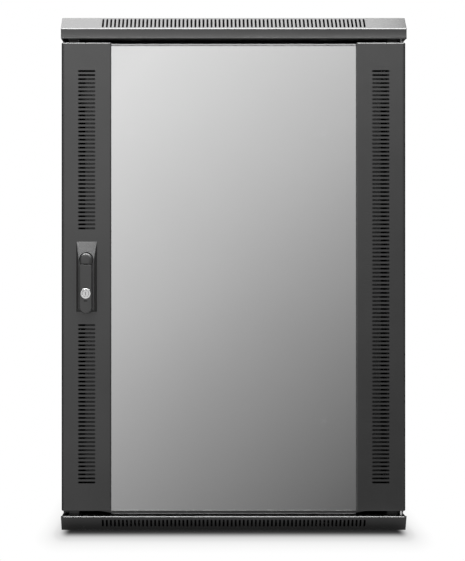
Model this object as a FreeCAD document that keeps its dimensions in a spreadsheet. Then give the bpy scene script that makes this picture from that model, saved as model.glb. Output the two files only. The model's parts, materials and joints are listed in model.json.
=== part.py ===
# An 18-unit wall-mounting rack cabinet for 19-inch equipment, as its separate pieces.
# Frame: X to the right, Y to the back, Z up, origin under the middle of the floor. Millimetres.
import FreeCAD, Part
import math
import os
import Sketcher

DRIVING = {
    "overall_width": 600,
    "overall_depth": 450,
    "overall_height": 895,
    "sheet": 1.5,
    "thin_sheet": 1.2,
    "rail_sheet": 2,
    "base_height": 26.5,
    "base_setback": 12,
    "front_lip": 22,
    "side_lip": 11,
    "crown_face": 17.5,
    "crown_slope": 23,
    "gap_below_door": 8,
    "gap_above_door": 6,
    "vent_pitch": 7,
    "vent_width": 3.5,
    "cover_vents": 66,
    "base_vent_low": 7,
    "base_vent_high": 20,
    "crown_vent_edge": 2.5,
    "entry_width": 300,
    "entry_depth": 100,
    "entry_back": 60,
    "entry_overlap": 10,
    "post_outer": 288,
    "post_flange": 18,
    "post_web": 40,
    "post_return": 15,
    "rear_flange": 28,
    "post_setback": 24,
    "door_width": 595,
    "door_setback": 2,
    "door_depth": 18,
    "stile_width": 84.5,
    "stile_lip": 18,
    "glass_rebate": 5,
    "glass_flange": 27,
    "stile_vent_length": 30,
    "stile_vents": 103,
    "vents_beside_handle": 40,
    "outer_fold": 3,
    "inner_fold": 2,
    "top_rail_drop": 1.2,
    "top_rail_lip": 4.8,
    "rail_rear_lip": 14,
    "tape": 1,
    "tape_width": 12,
    "glass": 4,
    "glass_bite": 13,
    "clip_width": 20,
    "clip_spread": 320,
    "hinge_inset": 5.5,
    "hinge_radius": 2.5,
    "pivot_radius": 2,
    "fit": 0.05,
    "housing_width": 36,
    "housing_length": 122,
    "housing_height": 10,
    "housing_top_width": 27,
    "housing_top_low": 57,
    "housing_top_high": 27,
    "pivot_rise": 30,
    "lever_width": 22,
    "lever_drop": 63.5,
    "lever_gap": 1,
    "lever_depth": 10.5,
    "lever_pin_drop": 12,
    "lever_pin_inset": 3.5,
    "lock_drop": 29,
    "lock_radius": 9,
    "unit": 44.45,
    "units": 18,
    "square_hole": 9.5,
    "rail_span": 465.1,
    "rail_clear": 450,
    "rail_flange": 36.9,
    "rail_depth": 40,
    "rail_length": 820,
    "clamp_back": 28,
    "front_rail_face": -176,
    "rear_rail_face": 120,
    "depth_rail_inner": 262,
    "depth_rail_width": 22,
    "depth_rail_height": 40,
    "depth_rail_low": 130,
    "depth_rail_high": 765,
    "panel_face": 298,
    "side_lock_height": 835,
    "side_lock_back": 10,
    "cable_slot_low": 690,
    "cable_slot_high": 750,
    "wall_hole_x": 400,
    "wall_hole_z": 600,
    "wall_hole_radius": 5,
    "m3_head": 3.5,
    "m3_height": 2,
    "m3_shank": 1.5,
    "m4_head": 4,
    "m4_height": 2.5,
    "m4_shank": 2,
    "m5_head": 4.5,
    "m5_height": 3,
    "m5_shank": 2.5,
    "m6_head": 5.5,
    "m6_height": 4,
    "m6_shank": 3,
    "screw_reach": 4.5,
    "screw_short": 0.3,
    "depth_slot": 7,
    "front_slot_margin": 6,
    "front_slot_end": -40,
    "rear_slot_start": 25,
    "rear_slot_margin": 24,
    "depth_screw_inset": 6,
    "rear_margin": 3,
    "rear_gap": 0.5,
    "rear_screw_inset": 14,
    "rear_screw_spread": 330,
    "side_gap": 1.5,
    "side_rear_gap": 3,
    "lock_flange": 1.4,
    "lock_flange_radius": 10,
    "lock_barrel": 8,
    "plug_radius": 4,
    "plug_height": 1.2,
    "plug_tail": 5,
    "side_cam": 2,
    "side_cam_reach": 26,
    "side_cam_width": 14,
    "side_key_width": 1.4,
    "side_key_height": 5,
    "side_key_depth": 3,
    "rear_slot_units": 3,
    "rear_slot_bridge": 14,
    "nut_gap": 0.1,
    "nut_height": 5,
    "bolt_reach": 7,
    "clip_foot_gap": 1,
    "clip_riser_gap": 3,
    "clip_tongue": 4,
    "clip_screw_inset": 5,
    "clip_screw_reach": 2.2,
    "spindle_radius": 4,
    "spindle_square": 5.6,
    "spindle_clearance": 0.5,
    "shaft_reach": 7,
    "head_gap": 0.6,
    "head_flat": 8.7,
    "tongue_width": 8,
    "tongue_drop": 4,
    "tongue_inset": 1,
    "latch_cam": 3,
    "latch_cam_width": 18,
    "latch_cam_reach": 26,
    "cam_screw_reach": 6,
    "lever_rise": 2.2,
    "lever_bevel": 2.8,
    "notch_gap": 0.3,
    "notch_drop": 5.5,
    "lever_pin": 1.5,
    "lever_pin_length": 21,
    "lock_proud": 0.5,
    "keyway_width": 1.6,
    "keyway_height": 7,
    "keyway_depth": 4,
    "back_plate": 2,
    "back_plate_width": 26,
    "back_plate_length": 112,
    "handle_screw_low": 40,
    "handle_screw_high": 41,
    "handle_screw_reach": 8,
    "pin_head": 2,
    "pin_head_radius": 4,
    "pin_reach": 9,
    "lower_bush": 8,
    "upper_bush": 5,
    "guide_drop": 31.5,
    "bolt_tail": 17,
    "bolt_finger": 18,
    "spring_length": 23,
    "spring_outer": 3.7,
    "spring_inner": 2.9,
    "collar": 2,
    "collar_radius": 3.8,
    "bracket_drop": 14,
    "bracket_sheet": 2,
    "bracket_width": 10,
    "buffer_inset": 4,
    "buffer_spread": 80,
    "buffer_height": 2.8,
    "buffer_radius": 4,
    "stud_across": -200,
    "stud_along": -150,
    "stud_height": 20,
}
MITRE = math.tan(math.radians(22.5))
LEAN_ALLOWANCE = 1.1
CLEAR = 1.0
PLANES = {"x": "YZ_Plane", "y": "XZ_Plane", "z": "XY_Plane"}
TURNS = {
    "x": FreeCAD.Rotation(FreeCAD.Vector(0, 1, 0), 90),
    "y": FreeCAD.Rotation(FreeCAD.Vector(1, 0, 0), -90),
    "z": FreeCAD.Rotation(),
}
SIDES = {"left": -1, "right": 1}
ORIGIN = -1
START, END, MIDDLE = 1, 2, 3
HEX = 6
SQUARE = 4
ROUND = 16
AROUND = 1 / math.cos(math.pi / ROUND)

doc = FreeCAD.newDocument("RackCabinet")
sheet = doc.addObject("Spreadsheet::Sheet", "Dims")
for row, (alias, number) in enumerate(DRIVING.items(), start=1):
    sheet.set("A%d" % row, alias)
    sheet.set("B%d" % row, str(number))
    sheet.setAlias("B%d" % row, alias)
doc.recompute()
nodes = []


class Length:
    """A size together with the formula over the sheet's cells that gives it."""

    def __init__(self, value, text):
        self.value = value
        self.text = text

    def __add__(self, other):
        other = as_length(other)
        return Length(self.value + other.value, "(%s + %s)" % (self.text, other.text))

    def __radd__(self, other):
        return as_length(other) + self

    def __sub__(self, other):
        other = as_length(other)
        return Length(self.value - other.value, "(%s - %s)" % (self.text, other.text))

    def __rsub__(self, other):
        return as_length(other) - self

    def __mul__(self, other):
        other = as_length(other)
        return Length(self.value * other.value, "(%s * %s)" % (self.text, other.text))

    def __rmul__(self, other):
        return as_length(other) * self

    def __truediv__(self, other):
        other = as_length(other)
        return Length(self.value / other.value, "(%s / %s)" % (self.text, other.text))

    def __neg__(self):
        return as_length(0) - self


def as_length(size):
    if isinstance(size, Length):
        return size
    return Length(float(size), "(%r)" % float(size))


class Dimensions:
    """The sheet's cells by name, as lengths."""

    def __getattr__(self, name):
        return Length(float(DRIVING[name]), "Dims." + name)


d = Dimensions()


def bind(thing, name, size):
    size = as_length(size)
    thing.setExpression(name, size.text)


class Polygon:
    """A closed outline of straight edges, each corner held by its two coordinates."""

    def __init__(self, *corners):
        self.corners = [(as_length(across), as_length(up)) for across, up in corners]

    def draw(self, sketch):
        first = sketch.GeometryCount
        count = len(self.corners)
        spots = [FreeCAD.Vector(across.value, up.value, 0) for across, up in self.corners]
        for index in range(count):
            sketch.addGeometry(Part.LineSegment(spots[index], spots[(index + 1) % count]), False)
        for index in range(count):
            following = first + (index + 1) % count
            sketch.addConstraint(Sketcher.Constraint("Coincident", first + index, END, following, START))
            hold(sketch, first + index, START, self.corners[index])


class Circle:
    """A round outline held by its middle and radius."""

    def __init__(self, across, up, radius):
        self.middle = (as_length(across), as_length(up))
        self.radius = as_length(radius)

    def draw(self, sketch):
        number = sketch.GeometryCount
        across, up = self.middle
        spot = FreeCAD.Vector(across.value, up.value, 0)
        sketch.addGeometry(Part.Circle(spot, FreeCAD.Vector(0, 0, 1), self.radius.value), False)
        hold(sketch, number, MIDDLE, self.middle)
        size = sketch.addConstraint(Sketcher.Constraint("Radius", number, self.radius.value))
        sketch.setExpression("Constraints[%d]" % size, self.radius.text)


def hold(sketch, curve, end, spot):
    for kind, size in zip(("DistanceX", "DistanceY"), spot):
        number = sketch.addConstraint(Sketcher.Constraint(kind, ORIGIN, START, curve, end, size.value))
        sketch.setExpression("Constraints[%d]" % number, size.text)


def rectangle(left, low, right, high):
    return Polygon((left, low), (right, low), (right, high), (left, high))


def facets(across, up, radius):
    """A round outline drawn with a few straight sides, whose corners lie on the circle."""
    radius = as_length(radius)
    corners = []
    for step in range(ROUND):
        turn = 2 * math.pi * step / ROUND
        corners.append((across + radius * round(math.cos(turn), 6), up + radius * round(math.sin(turn), 6)))
    return Polygon(*corners)


def block(across, up, half_width, half_height):
    return rectangle(across - half_width, up - half_height, across + half_width, up + half_height)


def mirrored(side, near, far):
    """The stretch from near to far on the right, or its mirror image on the left, in rising order."""
    return (near, far) if side > 0 else (-far, -near)


def new_body(node=None):
    body = doc.addObject("PartDesign::Body", node or "Piece")
    if node:
        keep(body, node)
    return body


def keep(thing, node):
    thing.Label = node
    nodes.append(thing)
    return thing


def origin_feature(body, role):
    return [feature for feature in body.Origin.OriginFeatures if feature.Role == role][0]


def draw(body, axis, outlines, start, end):
    """A sketch square to the axis at the end of the stretch that its normal runs from."""
    sketch = body.newObject("Sketcher::SketchObject", "Outline")
    sketch.AttachmentSupport = [(origin_feature(body, PLANES[axis]), "")]
    sketch.MapMode = "FlatFace"
    bind(sketch, "AttachmentOffset.Base.z", -as_length(end) if axis == "y" else start)
    for outline in outlines:
        outline.draw(sketch)
    return sketch


def add(body, axis, outlines, start, end):
    feature = body.newObject("PartDesign::Pad", "Pad")
    feature.Profile = draw(body, axis, outlines, start, end)
    bind(feature, "Length", as_length(end) - start)
    return feature


def cut(body, axis, outlines, start, end):
    feature = body.newObject("PartDesign::Pocket", "Pocket")
    feature.Profile = draw(body, axis, outlines, start, end)
    feature.Reversed = True
    bind(feature, "Length", as_length(end) - start)
    return feature


def repeat(body, feature, axis, spacing, count):
    pattern = body.newObject("PartDesign::LinearPattern", "Row")
    pattern.Originals = [feature]
    pattern.Direction = (origin_feature(body, axis.upper() + "_Axis"), [""])
    pattern.Mode = "Spacing"
    bind(pattern, "Offset", spacing)
    bind(pattern, "Occurrences", count)
    body.Tip = pattern
    return pattern


def round_folds(body, feature, radius, spot):
    """Round the upright edge that stands on a spot of the plan."""
    doc.recompute()
    across, along = spot
    names = []
    for number, edge in enumerate(feature.Shape.Edges, start=1):
        middle = edge.CenterOfMass
        if math.dist((middle.x, middle.y), (across.value, along.value)) < CLEAR / 10:
            names.append("Edge%d" % number)
    fillet = body.newObject("PartDesign::Fillet", "Fold")
    fillet.Base = (feature, names)
    bind(fillet, "Radius", radius)
    return fillet


def place(thing, axis, across, up, start):
    """Stand a primitive on its axis; across and up are the other two coordinates in order."""
    thing.Placement = FreeCAD.Placement(FreeCAD.Vector(), TURNS[axis])
    spots = {"x": (start, across, up), "y": (across, start, up), "z": (across, up, start)}
    for name, size in zip("xyz", spots[axis]):
        bind(thing, "Placement.Base." + name, size)


def rod(axis, across, up, start, end, radius):
    low, high = sorted((as_length(start), as_length(end)), key=lambda size: size.value)
    cylinder = doc.addObject("Part::Cylinder", "Rod")
    bind(cylinder, "Radius", radius)
    bind(cylinder, "Height", high - low)
    place(cylinder, axis, across, up, low)
    return cylinder


def prism(axis, across, up, start, end, radius, sides=ROUND):
    low, high = sorted((as_length(start), as_length(end)), key=lambda size: size.value)
    solid = doc.addObject("Part::Prism", "Prism")
    solid.Polygon = sides
    bind(solid, "Circumradius", radius)
    bind(solid, "Height", high - low)
    place(solid, axis, across, up, low)
    return solid


def fuse(*things):
    joined = doc.addObject("Part::MultiFuse", "Joined")
    joined.Shapes = list(things)
    return joined


def bore(base, tool):
    result = doc.addObject("Part::Cut", "Bored")
    result.Base = base
    result.Tool = tool
    return result


def group(node, members):
    compound = doc.addObject("Part::Compound", node)
    compound.Links = list(members)
    return keep(compound, node)


def screw(axis, across, up, seat, facing, tip, size):
    """A hexagon-headed screw: its head stands on the seat, on the side that it faces.

    Its threaded end is drawn with four flat sides.
    """
    head_radius = getattr(d, size + "_head")
    height = getattr(d, size + "_height")
    head = prism(axis, across, up, seat, seat + facing * height, head_radius, HEX)
    shank = prism(axis, across, up, tip, seat + facing * height / 2, getattr(d, size + "_shank"), SQUARE)
    return fuse(head, shank)


# Where the main planes lie, worked out from the driving sizes.
half_width = d.overall_width / 2
back = d.overall_depth / 2
front = -back
top = d.overall_height
door_bottom = d.base_height + d.gap_below_door
crown_bottom = top - d.crown_slope - d.crown_face
door_top = crown_bottom - d.gap_above_door
door_middle = (door_bottom + door_top) / 2
top_rail_edge = door_top - d.top_rail_drop
door_front = front + d.door_setback
door_back = door_front + d.door_depth
half_door = d.door_width / 2
stile_inner = half_door - d.stile_width
stile_centre = half_door - d.stile_width / 2
flange_back = door_front + d.glass_rebate
flange_end = stile_inner + d.glass_flange
glass_front = flange_back + d.tape
glass_back = glass_front + d.glass
hinge_x = half_door - d.hinge_inset
hinge_y = door_front + d.door_depth / 2
post_front = front + d.post_setback
front_post_back = post_front + d.post_web
rear_post_back = back - d.sheet
rear_post_front = rear_post_back - d.post_web
web_inner = d.post_outer - d.sheet
entry_front = d.entry_back
entry_rear = d.entry_back + d.entry_depth
half_entry = d.entry_width / 2
first_cover_vent = -((d.cover_vents - 1) * d.vent_pitch / 2)


def hollow_pan(body, profile, opening_low, opening_high):
    """Hollow a cover, and open it between its front lip, its side lips and its rear wall."""
    inside = half_width - d.sheet
    cut(body, "x", [profile], -inside, inside)
    clear = half_width - d.side_lip
    opening = rectangle(-clear, front + d.front_lip, clear, back - d.sheet)
    cut(body, "z", [opening], opening_low, opening_high)


def cover_vents(body, low, high, near, far):
    """The row of upright vent slots across the front of a cover."""
    slot = block(first_cover_vent, (low + high) / 2, d.vent_width / 2, (high - low) / 2)
    repeat(body, cut(body, "y", [slot], near, far), "x", d.vent_pitch, d.cover_vents)


def make_bottom_cover():
    body = new_body("bottom_cover")
    rim = d.base_height
    outline = Polygon((front, rim), (front + d.base_setback, 0), (back, 0), (back, rim))
    add(body, "x", [outline], -half_width, half_width)
    lean = d.base_setback / rim
    skin = front + d.sheet * LEAN_ALLOWANCE
    hollow = Polygon(
        (skin + d.sheet * lean, rim - d.sheet),
        (skin + (rim - d.sheet) * lean, d.sheet),
        (back - d.sheet, d.sheet),
        (back - d.sheet, rim - d.sheet),
    )
    hollow_pan(body, hollow, rim - d.sheet * 2, rim + CLEAR)
    entry = rectangle(-half_entry, entry_front, half_entry, entry_rear)
    cut(body, "z", [entry], -CLEAR, d.sheet + CLEAR)
    cut(body, "z", [facets(hinge_x, hinge_y, d.hinge_radius)], rim - d.sheet * 2, rim + CLEAR)
    cover_vents(body, d.base_vent_low, d.base_vent_high, front - CLEAR, front + d.base_setback + d.sheet)


def make_top_cover():
    body = new_body("top_cover")
    bend = crown_bottom + d.crown_face
    outline = Polygon(
        (front, crown_bottom),
        (front, bend),
        (front + d.crown_slope, top),
        (back, top),
        (back, crown_bottom),
    )
    add(body, "x", [outline], -half_width, half_width)
    hollow = Polygon(
        (front + d.sheet, crown_bottom + d.sheet),
        (front + d.sheet, bend - d.sheet * MITRE),
        (front + d.crown_slope + d.sheet * MITRE, top - d.sheet),
        (back - d.sheet, top - d.sheet),
        (back - d.sheet, crown_bottom + d.sheet),
    )
    hollow_pan(body, hollow, crown_bottom - CLEAR, crown_bottom + d.sheet * 2)
    entry = rectangle(-half_entry, entry_front, half_entry, entry_rear)
    cut(body, "z", [entry], top - d.sheet - CLEAR, top + CLEAR)
    bush_hole = facets(hinge_x, hinge_y, d.hinge_radius + d.sheet)
    cut(body, "z", [bush_hole], crown_bottom - CLEAR, crown_bottom + d.sheet * 2)
    low = bend + d.crown_vent_edge
    high = top - d.crown_vent_edge
    cover_vents(body, low, high, front - CLEAR, front + d.crown_slope + d.sheet)


def make_cable_covers():
    """Blanking plates over the cable entries of floor, top and rear, each held by two screws."""
    lap = d.entry_overlap
    plate = rectangle(-half_entry - lap, entry_front - lap, half_entry + lap, entry_rear + lap)
    floor = new_body("bottom_cable_cover")
    floor_seat = d.sheet + d.thin_sheet
    add(floor, "z", [plate], d.sheet, floor_seat)
    ceiling = new_body("top_cable_cover")
    top_seat = top - d.sheet - d.thin_sheet
    add(ceiling, "z", [plate], top_seat, top - d.sheet)
    rear = new_body("rear_cable_cover")
    rear_seat = back - d.sheet - d.thin_sheet
    plate = rectangle(-half_entry - lap, d.cable_slot_low - lap, half_entry + lap, d.cable_slot_high + lap)
    add(rear, "y", [plate], rear_seat, back - d.sheet)
    screws = []
    for side in SIDES.values():
        across = side * (half_entry + lap / 2)
        along = (entry_front + entry_rear) / 2
        screws.append(screw("z", across, along, floor_seat, 1, d.screw_short, "m4"))
        screws.append(screw("z", across, along, top_seat, -1, top - d.screw_short, "m4"))
        up = (d.cable_slot_low + d.cable_slot_high) / 2
        screws.append(screw("y", across, up, rear_seat, -1, back - d.screw_short, "m4"))
    group("cable_cover_screws", screws)


def make_posts():
    """Four corner posts: folded channels with an end tab at the floor and at the top."""
    for name, side in SIDES.items():
        outer = side * d.post_outer
        inner = side * web_inner
        lip = side * (d.post_outer - d.post_return)
        near = side * (d.post_outer - d.post_flange)
        section = Polygon(
            (near, post_front),
            (outer, post_front),
            (outer, front_post_back),
            (lip, front_post_back),
            (lip, front_post_back - d.sheet),
            (inner, front_post_back - d.sheet),
            (inner, post_front + d.sheet),
            (near, post_front + d.sheet),
        )
        tab = rectangle(near, post_front + d.sheet, inner, front_post_back - d.sheet)
        make_post("front_post_" + name, section, tab)
        near = side * (d.post_outer - d.rear_flange)
        section = Polygon(
            (near, rear_post_back),
            (outer, rear_post_back),
            (outer, rear_post_front),
            (lip, rear_post_front),
            (lip, rear_post_front + d.sheet),
            (inner, rear_post_front + d.sheet),
            (inner, rear_post_back - d.sheet),
            (near, rear_post_back - d.sheet),
        )
        tab = rectangle(near, rear_post_front + d.sheet, inner, rear_post_back - d.sheet)
        make_post("rear_post_" + name, section, tab)


def make_post(node, section, tab):
    body = new_body(node)
    add(body, "z", [section], d.sheet, top - d.sheet)
    add(body, "z", [tab], d.sheet, d.sheet * 2)
    add(body, "z", [tab], top - d.sheet * 2, top - d.sheet)


def make_depth_rails():
    """Open trays between the posts, with the long slots in which the rack rails are clamped."""
    levels = {"lower": d.depth_rail_low, "upper": d.depth_rail_high}
    near = d.depth_rail_inner
    far = near + d.depth_rail_width
    half_height = d.depth_rail_height / 2
    screws = []
    for level, height in levels.items():
        for name, side in SIDES.items():
            body = new_body("depth_rail_%s_%s" % (level, name))
            outline = rectangle(
                front_post_back, height - half_height, rear_post_front, height + half_height
            )
            add(body, "x", [outline], *mirrored(side, near, far))
            hollow = rectangle(
                front_post_back + d.sheet,
                height - half_height + d.sheet,
                rear_post_front - d.sheet,
                height + half_height - d.sheet,
            )
            cut(body, "x", [hollow], *mirrored(side, near + d.sheet, far + CLEAR))
            low = height - d.depth_slot / 2
            high = height + d.depth_slot / 2
            slots = [
                rectangle(front_post_back + d.front_slot_margin, low, d.front_slot_end, high),
                rectangle(d.rear_slot_start, low, rear_post_front - d.rear_slot_margin, high),
            ]
            cut(body, "x", slots, *mirrored(side, near - CLEAR, near + d.sheet + CLEAR))
            across = side * (far - d.depth_screw_inset)
            seat = front_post_back + d.sheet
            screws.append(screw("y", across, height, seat, 1, seat - d.screw_reach, "m5"))
            seat = rear_post_front - d.sheet
            screws.append(screw("y", across, height, seat, -1, seat + d.screw_reach, "m5"))
    group("depth_rail_screws", screws)


def make_rear_panel():
    body = new_body("rear_panel")
    edge = half_width - d.rear_margin
    low = d.base_height + d.rear_gap
    high = crown_bottom - d.rear_gap
    add(body, "y", [rectangle(-edge, low, edge, high)], back - d.sheet, back)
    holes = [rectangle(-half_entry, d.cable_slot_low, half_entry, d.cable_slot_high)]
    for across in (-d.wall_hole_x / 2, d.wall_hole_x / 2):
        for up in (door_middle - d.wall_hole_z / 2, door_middle + d.wall_hole_z / 2):
            holes.append(Circle(across, up, d.wall_hole_radius))
    cut(body, "y", holes, back - d.sheet - CLEAR, back + CLEAR)
    screws = []
    seat = back - d.sheet * 2
    for side in SIDES.values():
        across = side * (d.post_outer - d.rear_screw_inset)
        for up in (door_middle - d.rear_screw_spread, door_middle + d.rear_screw_spread):
            screws.append(screw("y", across, up, seat, -1, back - d.screw_short, "m5"))
    group("rear_panel_screws", screws)


def make_side_panels():
    """Lift-off side panels: shallow trays that stand against the posts, each with a quarter-turn lock."""
    low = d.base_height + d.side_gap
    high = crown_bottom - d.side_gap
    near = post_front + CLEAR
    far = back - d.side_rear_gap
    for name, side in SIDES.items():
        body = new_body("side_panel_" + name)
        add(body, "x", [rectangle(near, low, far, high)], *mirrored(side, d.post_outer, d.panel_face))
        wall = d.thin_sheet
        hollow = rectangle(near + wall, low + wall, far - wall, high - wall)
        cut(body, "x", [hollow], *mirrored(side, d.post_outer - CLEAR, d.panel_face - wall))
        hole = facets(d.side_lock_back, d.side_lock_height, d.lock_barrel)
        cut(body, "x", [hole], *mirrored(side, d.panel_face - wall - CLEAR, d.panel_face + CLEAR))
        make_side_lock(name, side)


def make_side_lock(name, side):
    """A barrel with a flange, the plug that turns in it, and the cam on the plug's square tail."""
    spot = (d.side_lock_back, d.side_lock_height)
    face = d.panel_face
    tail = d.post_outer - CLEAR
    cam_span = mirrored(side, tail - d.side_cam, tail)
    flange = prism("x", *spot, side * face, side * (face + d.lock_flange), d.lock_flange_radius)
    inner_end = side * (d.post_outer + CLEAR)
    barrel = prism("x", *spot, inner_end, side * (face + d.lock_flange / 2), d.lock_barrel)
    inside = (d.plug_radius + d.fit) * AROUND
    core = prism("x", *spot, side * tail, side * (face + d.lock_flange * 2), inside)
    keep(bore(fuse(flange, barrel), core), "side_lock_body_" + name)
    plug = new_body("side_lock_plug_" + name)
    add(plug, "x", [Circle(*spot, d.plug_radius)], *mirrored(side, tail, face + d.plug_height))
    square = block(*spot, d.plug_tail / 2, d.plug_tail / 2)
    add(plug, "x", [square], *cam_span)
    slot = block(*spot, d.side_key_width / 2, d.side_key_height / 2)
    cut(plug, "x", [slot], *mirrored(side, face - d.side_key_depth, face + d.lock_flange * 2))
    cam = new_body("side_lock_cam_" + name)
    half_cam = d.side_cam_width / 2
    along, up = spot
    add(cam, "x", [rectangle(along, up - half_cam, along + d.side_cam_reach, up + half_cam)], *cam_span)
    add(cam, "x", [facets(along, up, d.lock_barrel)], *cam_span)
    cut(cam, "x", [square], *mirrored(side, tail - d.side_cam - CLEAR, tail + CLEAR))


def make_rack_rails():
    """Two front rails with the square holes of 19-inch equipment, and two slotted rear rails."""
    first = door_middle - d.units * d.unit / 2
    half_hole = d.square_hole / 2
    half_slot = (d.unit * d.rear_slot_units - d.rear_slot_bridge) / 2
    for name, side in SIDES.items():
        centre = side * (d.rail_span / 2)
        holes = [
            block(centre, first + d.unit * share, half_hole, half_hole) for share in (1 / 7, 1 / 2, 6 / 7)
        ]
        make_rack_rail("front_" + name, side, d.front_rail_face, 1, (holes, d.unit, d.units))
        group_height = d.unit * d.rear_slot_units
        slot = block(centre, first + group_height / 2, half_hole, half_slot)
        row = ([slot], group_height, d.units / d.rear_slot_units)
        make_rack_rail("rear_" + name, side, d.rear_rail_face, -1, row)


def make_rack_rail(name, side, face, inward, row):
    """An angle with a row of holes in its face, and the two bolts that clamp it to the depth rails."""
    body = new_body("rack_rail_" + name)
    near = side * (d.rail_clear / 2)
    far = side * (d.rail_clear / 2 + d.rail_flange)
    skin = side * (d.rail_clear / 2 + d.rail_flange - d.rail_sheet)
    thick = inward * d.rail_sheet
    section = Polygon(
        (near, face),
        (far, face),
        (far, face + inward * d.rail_depth),
        (skin, face + inward * d.rail_depth),
        (skin, face + thick),
        (near, face + thick),
    )
    low = door_middle - d.rail_length / 2
    add(body, "z", [section], low, low + d.rail_length)
    holes, spacing, count = row
    middle = face + thick / 2
    first_holes = cut(body, "y", holes, middle - d.rail_sheet, middle + d.rail_sheet)
    repeat(body, first_holes, "z", spacing, count)
    bolts = []
    along = face + inward * d.clamp_back
    web = side * (d.depth_rail_inner + d.sheet + d.nut_gap)
    for height in (d.depth_rail_low, d.depth_rail_high):
        bolt = screw("x", along, height, skin, -side, web + side * d.bolt_reach, "m6")
        nut = prism("x", along, height, web, web + side * d.nut_height, d.m6_head, SQUARE)
        bolts.append(fuse(bolt, nut))
    group("clamp_bolts_" + name, bolts)


def make_stile(name, side):
    """A folded door stile with a rebated flange for the glass and closed ends."""
    body = new_body("door_stile_" + name)
    outer = side * half_door
    skin = side * (half_door - d.sheet)
    inner = side * stile_inner
    section = Polygon(
        (side * (half_door - d.stile_lip), door_back),
        (outer, door_back),
        (outer, door_front),
        (inner, door_front),
        (inner, flange_back),
        (side * flange_end, flange_back),
        (side * flange_end, flange_back - d.sheet),
        (side * (stile_inner + d.sheet), flange_back - d.sheet),
        (side * (stile_inner + d.sheet), door_front + d.sheet),
        (skin, door_front + d.sheet),
        (skin, door_back - d.sheet),
        (side * (half_door - d.stile_lip), door_back - d.sheet),
    )
    shell = add(body, "z", [section], door_bottom, door_top)
    folded = round_folds(body, shell, d.outer_fold, (outer, door_front))
    round_folds(body, folded, d.inner_fold, (inner, door_front))
    cap = rectangle(side * flange_end, door_front + d.sheet, skin, door_back)
    add(body, "z", [cap], door_bottom, door_bottom + d.sheet)
    add(body, "z", [cap], door_top - d.sheet, door_top)
    return body


def stile_vents(body, side, first, count):
    slot = block(side * stile_centre, first, d.stile_vent_length / 2, d.vent_width / 2)
    row = cut(body, "y", [slot], door_front - CLEAR, door_front + d.sheet * LEAN_ALLOWANCE)
    repeat(body, row, "z", d.vent_pitch, count)


def make_door_frame():
    first_vent = door_middle - (d.stile_vents - 1) * d.vent_pitch / 2
    body = make_stile("left", -1)
    shaft_hole = facets(handle_x, pivot_z, d.spindle_radius + d.spindle_clearance)
    cut(body, "y", [shaft_hole], door_front - CLEAR, door_front + d.sheet + CLEAR)
    stile_vents(body, -1, first_vent, d.vents_beside_handle)
    upper = first_vent + (d.stile_vents - d.vents_beside_handle) * d.vent_pitch
    stile_vents(body, -1, upper, d.vents_beside_handle)
    body = make_stile("right", 1)
    lower_hole = facets(hinge_x, hinge_y, d.pivot_radius + d.sheet)
    cut(body, "z", [lower_hole], door_bottom - CLEAR, door_bottom + d.sheet + CLEAR)
    upper_hole = facets(hinge_x, hinge_y, (d.hinge_radius + d.fit) * AROUND)
    cut(body, "z", [upper_hole], door_top - d.sheet - CLEAR, door_top + CLEAR)
    stile_vents(body, 1, first_vent, d.stile_vents)
    upper = make_door_rail("door_top_rail", top_rail_edge, -1)
    lip = rectangle(flange_back - d.sheet, top_rail_edge - d.top_rail_lip, flange_back, top_rail_edge)
    add(upper, "x", [lip], -stile_inner, stile_inner)
    make_door_rail("door_bottom_rail", door_bottom, 1)


def make_door_rail(node, edge, inward):
    """A channel between the stiles that stands along the edge of the glass."""
    body = new_body(node)
    web = edge + inward * d.sheet
    rear = door_back - d.sheet
    section = Polygon(
        (flange_back, edge),
        (door_back, edge),
        (door_back, edge + inward * d.rail_rear_lip),
        (rear, edge + inward * d.rail_rear_lip),
        (rear, web),
        (flange_back, web),
    )
    add(body, "x", [section], -flange_end, flange_end)
    return body


def make_glazing():
    half_glass = stile_inner + d.glass_bite
    glass_low = door_bottom + d.sheet
    glass_high = top_rail_edge - d.sheet - CLEAR / 2
    pane = new_body("door_glass")
    add(pane, "y", [rectangle(-half_glass, glass_low, half_glass, glass_high)], glass_front, glass_back)
    tape = new_body("glass_tape")
    outer = stile_inner + d.tape_width
    inner = stile_inner + CLEAR
    lip_low = top_rail_edge - d.top_rail_lip + CLEAR
    strip = Polygon(
        (-outer, glass_low + CLEAR),
        (-inner, glass_low + CLEAR),
        (-inner, lip_low),
        (inner, lip_low),
        (inner, glass_low + CLEAR),
        (outer, glass_low + CLEAR),
        (outer, glass_high - CLEAR / 2),
        (-outer, glass_high - CLEAR / 2),
    )
    add(tape, "y", [strip], flange_back, glass_front)
    clips = []
    screws = []
    for side in SIDES.values():
        for up in (door_middle - d.clip_spread, door_middle, door_middle + d.clip_spread):
            clips.append(glass_clip(side, up))
            across = side * (flange_end - d.clip_screw_inset)
            seat = flange_back + d.thin_sheet
            screws.append(screw("y", across, up, seat, 1, seat - d.clip_screw_reach, "m3"))
    group("glass_clips", clips)
    group("glass_clip_screws", screws)


def glass_clip(side, up):
    """A Z-shaped clip: its foot is screwed to the stile and its tongue holds the pane."""
    far = side * (flange_end - d.clip_foot_gap)
    riser = side * (stile_inner + d.glass_bite + d.clip_riser_gap)
    skin = side * (stile_inner + d.glass_bite + d.clip_riser_gap + d.thin_sheet)
    tip = side * (stile_inner + d.clip_tongue)
    section = Polygon(
        (far, flange_back),
        (far, flange_back + d.thin_sheet),
        (skin, flange_back + d.thin_sheet),
        (skin, glass_back + d.thin_sheet),
        (tip, glass_back + d.thin_sheet),
        (tip, glass_back),
        (riser, glass_back),
        (riser, flange_back),
    )
    body = new_body()
    add(body, "z", [section], up - d.clip_width / 2, up + d.clip_width / 2)
    return body


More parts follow.
